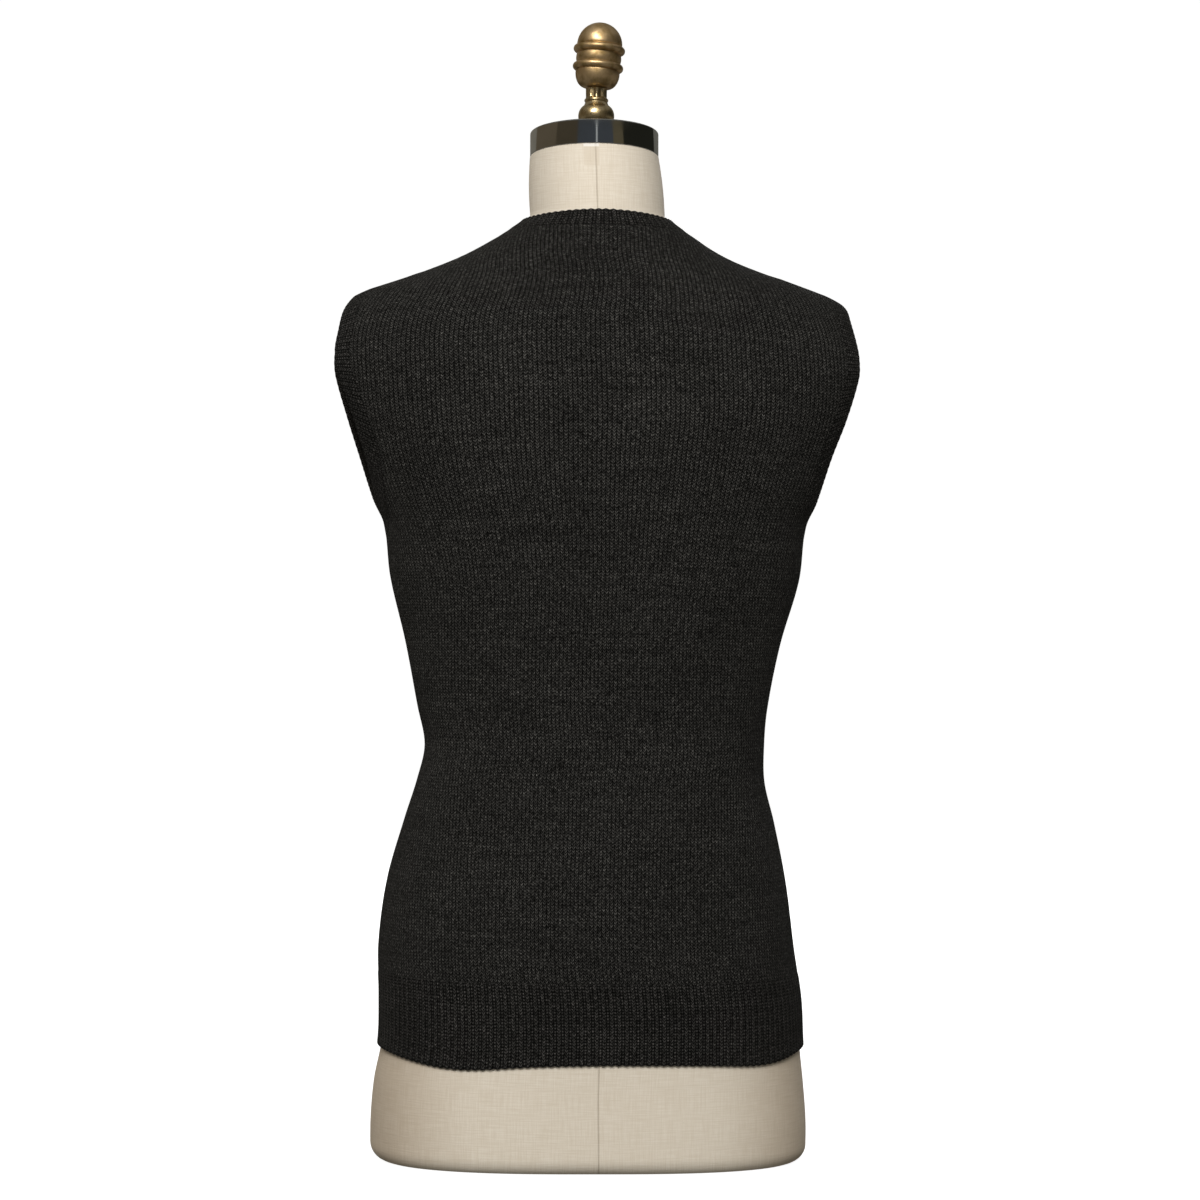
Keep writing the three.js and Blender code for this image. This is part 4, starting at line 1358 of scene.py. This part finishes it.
@dataclass(frozen=True)
class Room:
    """The room round the figure, as the polished cap shows it, and its dim light from above and below.

    Between the floor and the ceiling it is a band of walls. On the camera's side of the figure they are brown
    to the left, blue-grey in the middle with one narrow bright gap, olive, and nearly black to the right. The
    walls beyond the figure are paler. Each wall is given by the azimuth in degrees at which it starts, where 0
    is -Y and 90 is +X. The change from one wall to the next takes half a degree.
    """

    walls: tuple[tuple[float, str], ...] = (
        (-180.0, "#77736a"),
        (-132.0, "#5b5244"),
        (-76.0, "#463f33"),
        (-34.0, "#404449"),
        (-0.9, "#babebf"),
        (1.7, "#404449"),
        (31.0, "#57503f"),
        (50.0, "#22221d"),
        (132.0, "#66655f"),
    )
    ceiling: str = "#7c7b78"
    floor: str = "#6e6b65"
    ceiling_from: float = math.sin(math.radians(30))
    ceiling_full: float = math.sin(math.radians(36))
    wall_change: float = 0.0015

    def build(self) -> None:
        """Makes the room's light: the azimuth is atan2(x, -y), and the height is the direction's z."""
        world = bpy.data.worlds.new("dim_studio_room")
        world.use_nodes = True
        bpy.context.scene.world = world
        tree = world.node_tree
        aim = add(tree, "SeparateXYZ", {0: add(tree, "TexCoord").node.outputs["Generated"]})
        ahead = add(tree, "Math", {0: aim.node.outputs["Y"], 1: -1.0}, operation="MULTIPLY")
        azimuth = add(tree, "Math", {0: aim, 1: ahead}, operation="ARCTAN2")
        turn = add(tree, "Math", {0: azimuth, 1: 1 / (2 * math.pi), 2: 0.5}, operation="MULTIPLY_ADD")
        band = add(tree, "ValToRGB", {0: turn})
        stops = band.node.color_ramp.elements
        stops.remove(stops[1])
        stops[0].position, stops[0].color = 0.0, linear(self.walls[0][1])
        for (degrees, colour), (_, before) in zip(self.walls[1:], self.walls):
            stops.new(degrees / 360 + 0.5 - self.wall_change).color = linear(before)
            stops.new(degrees / 360 + 0.5).color = linear(colour)
        height = aim.node.outputs["Z"]
        above = add(
            tree, "MapRange", {"Value": height, "From Min": self.ceiling_from, "From Max": self.ceiling_full}
        )
        below = add(tree, "MapRange", {"Value": height, "From Min": 0.03, "From Max": -0.03})
        walled = add(tree, "MixRGB", {"Fac": above, "Color1": band, "Color2": linear(self.ceiling)})
        whole = add(tree, "MixRGB", {"Fac": below, "Color1": walled, "Color2": linear(self.floor)})
        tree.links.new(whole, tree.nodes["Background"].inputs["Color"])


@dataclass
class Studio:
    """A pale floor with a round backdrop that only the camera sees, four soft boxes and a lamp for the brass.

    Attributes:
        paper: the backdrop's colour.
        glow: how much it shines of itself, so that it shows white.
        wall_from: the radius at which the floor starts to curve up.
        wall_curve: the curve's radius.
        wall_top: the wall's height.
        sides: how many sides the round backdrop has.
        aim_z: the height that every lamp faces, in metres.
    """

    paper: str = "#a8a8a6"
    glow: float = 0.93
    wall_from: float = 4600.0
    wall_curve: float = 1500.0
    wall_top: float = 8000.0
    sides: int = 96
    aim_z: float = 0.5

    def backdrop(self) -> None:
        """A level floor round the figure that curves up into a wall: a profile turned about the Z axis."""
        material, _, shader = new_material("white_backdrop_paper", Roughness=0.95)
        shader.inputs["Base Color"].default_value = linear(self.paper)
        shader.inputs["Emission Color"].default_value = (1.0, 1.0, 1.0, 1.0)
        shader.inputs["Emission Strength"].default_value = self.glow
        turn = np.linspace(0, math.pi / 2, 16)
        level, radius = self.wall_from, self.wall_curve
        out = np.concatenate([[0.0, 800.0], level + radius * np.sin(turn), [level + radius]])[:, None]
        z = np.concatenate([[0.0, 0.0], radius * (1 - np.cos(turn)), [self.wall_top]])
        angle = np.linspace(0, 2 * math.pi, self.sides + 1)[:-1]
        tall = np.repeat(z[:, None], self.sides, axis=1)
        points = np.stack([out * np.cos(angle), out * np.sin(angle), tall], axis=-1)
        plain = np.zeros((len(out), self.sides + 1, 2))
        stage = mesh_object("floor_and_backdrop", [Grid(points, plain, closed=True)], weld=0.1)
        stage.data.materials.append(material)
        stage.visible_diffuse = False
        stage.visible_glossy = False
        stage.visible_shadow = False

    def light(
        self,
        name: str,
        place: tuple[float, float, float],
        size: tuple[float, float],
        power: float,
        colour: str,
        shine_on: list[bpy.types.Object] | None = None,
    ) -> None:
        """A soft box that faces the figure and that no mirror shows, or a lamp that only shines in some pieces.

        Args:
            name: the lamp's name.
            place: where it stands, in metres.
            size: its width and height, in metres.
            power: in watts.
            colour: its light's colour, near white.
            shine_on: the pieces that it is seen in; they are all that it lights.
        """
        data = bpy.data.lights.new(name, "AREA")
        data.shape = "RECTANGLE"
        data.size, data.size_y = size
        data.energy = power
        data.color = linear(colour)[:3]
        lamp = bpy.data.objects.new(name, data)
        lamp.location = place
        aim = Vector((0, 0, self.aim_z)) - Vector(place)
        lamp.rotation_euler = aim.to_track_quat("-Z", "Y").to_euler()
        lamp.visible_camera = False
        lamp.visible_glossy = bool(shine_on)
        lamp.visible_diffuse = not shine_on
        bpy.context.scene.collection.objects.link(lamp)
        if shine_on:
            lit = bpy.data.collections.new(name)
            for piece in shine_on:
                lit.objects.link(piece)
            lamp.light_linking.receiver_collection = lit

    def build(self, brass: list[bpy.types.Object]) -> None:
        """Sets the stage, and shows its light as it is measured, without a film curve.

        Args:
            brass: the pieces that a high lamp shines in.
        """
        bpy.context.scene.view_settings.view_transform = "Standard"
        self.backdrop()
        Room().build()
        self.light("key_soft_box", (-0.35, -2.7, 1.75), (1.4, 1.3), 80.0, "#fffaf5")
        self.light("front_soft_box", (0.5, 2.8, 1.6), (1.4, 1.3), 62.0, "#f8f9ff")
        self.light("left_soft_box", (-1.85, 2.15, 1.3), (0.8, 1.3), 22.0, "#fffaf5")
        self.light("right_soft_box", (1.85, 2.15, 1.3), (0.8, 1.3), 18.0, "#f8f9ff")
        self.light("brass_shine", (-0.9, -2.6, 3.1), (1.8, 1.3), 105.0, "#fff9f0", shine_on=brass)


def build_vest(figure: Figure) -> None:
    """The flat sizes are width by length in metres. A panel's area is less than its rectangle, by the armholes,
    the sloping shoulders and the neck. Plain knit gives the eye fine upright columns of Vs, and the 1x1 rib
    gives it upright cords, with painted shade darkening the valleys between them.
    """
    plain = WoolKnit("charcoal_wool_plain_knit", wale_share=1.0, depth=0.75).build()
    ribbed = WoolKnit(
        "charcoal_wool_1x1_rib",
        wale_share=0.62,
        depth=0.6,
        base="#2c2c2b",
        shadow="#171716",
        pale="#403f3e",
    ).build()
    back = Panel(figure, Half.BACK, "vest_back").build(plain)
    front = Panel(figure, Half.FRONT, "vest_front").build(plain)
    for half, name, flat in (
        (Half.BACK, "vest_back_welt", (0.454, 0.063)),
        (Half.FRONT, "vest_front_welt", (0.437, 0.061)),
    ):
        welt = Welt(figure, half, name).build(ribbed)
    neckband = Neckband(figure).build(ribbed)
    for hand, name in ((1, "vest_armband_right"), (-1, "vest_armband_left")):
        armband = Armband(figure, name, hand).build(ribbed)


def build_form(figure: Figure) -> list[bpy.types.Object]:
    """Makes the dress form: its torso, neck cap and finial.

    Returns:
        The finial's two brass pieces.
    """
    torso = Torso(figure)
    torso.build(Linen().build())
    # Plated and polished: a sharp, slightly dimmed mirror of the dark room, almost without a colour of its own.
    chrome = Metal("dark_polished_chrome", "#d3d3d1", "#c2c1bb", roughness=0.05, unevenness=0.01, patch=30.0)
    # Turned and polished, then handled: warm soft-edged highlights with a few browner specks.
    brass = Metal("polished_brass", "#dac69c", "#9c8860", roughness=0.26, unevenness=0.12, patch=5.0)
    # Turned and left to age: a broad dull sheen, with browner patches where it tarnished.
    aged = Metal("aged_satin_brass", "#dcc094", "#9a8256", roughness=0.42, unevenness=0.22, patch=8.0)
    _, *finial = NeckFittings(torso).build(chrome.build(), brass.build(), aged.build())
    return finial


def main() -> None:
    logging.basicConfig(level=logging.INFO, format="%(name)s %(message)s")
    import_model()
    PhotoCamera().build()
    figure = Figure()
    brass = build_form(figure)
    build_vest(figure)
    Studio().build(brass)


if __name__ == "__main__":
    main()
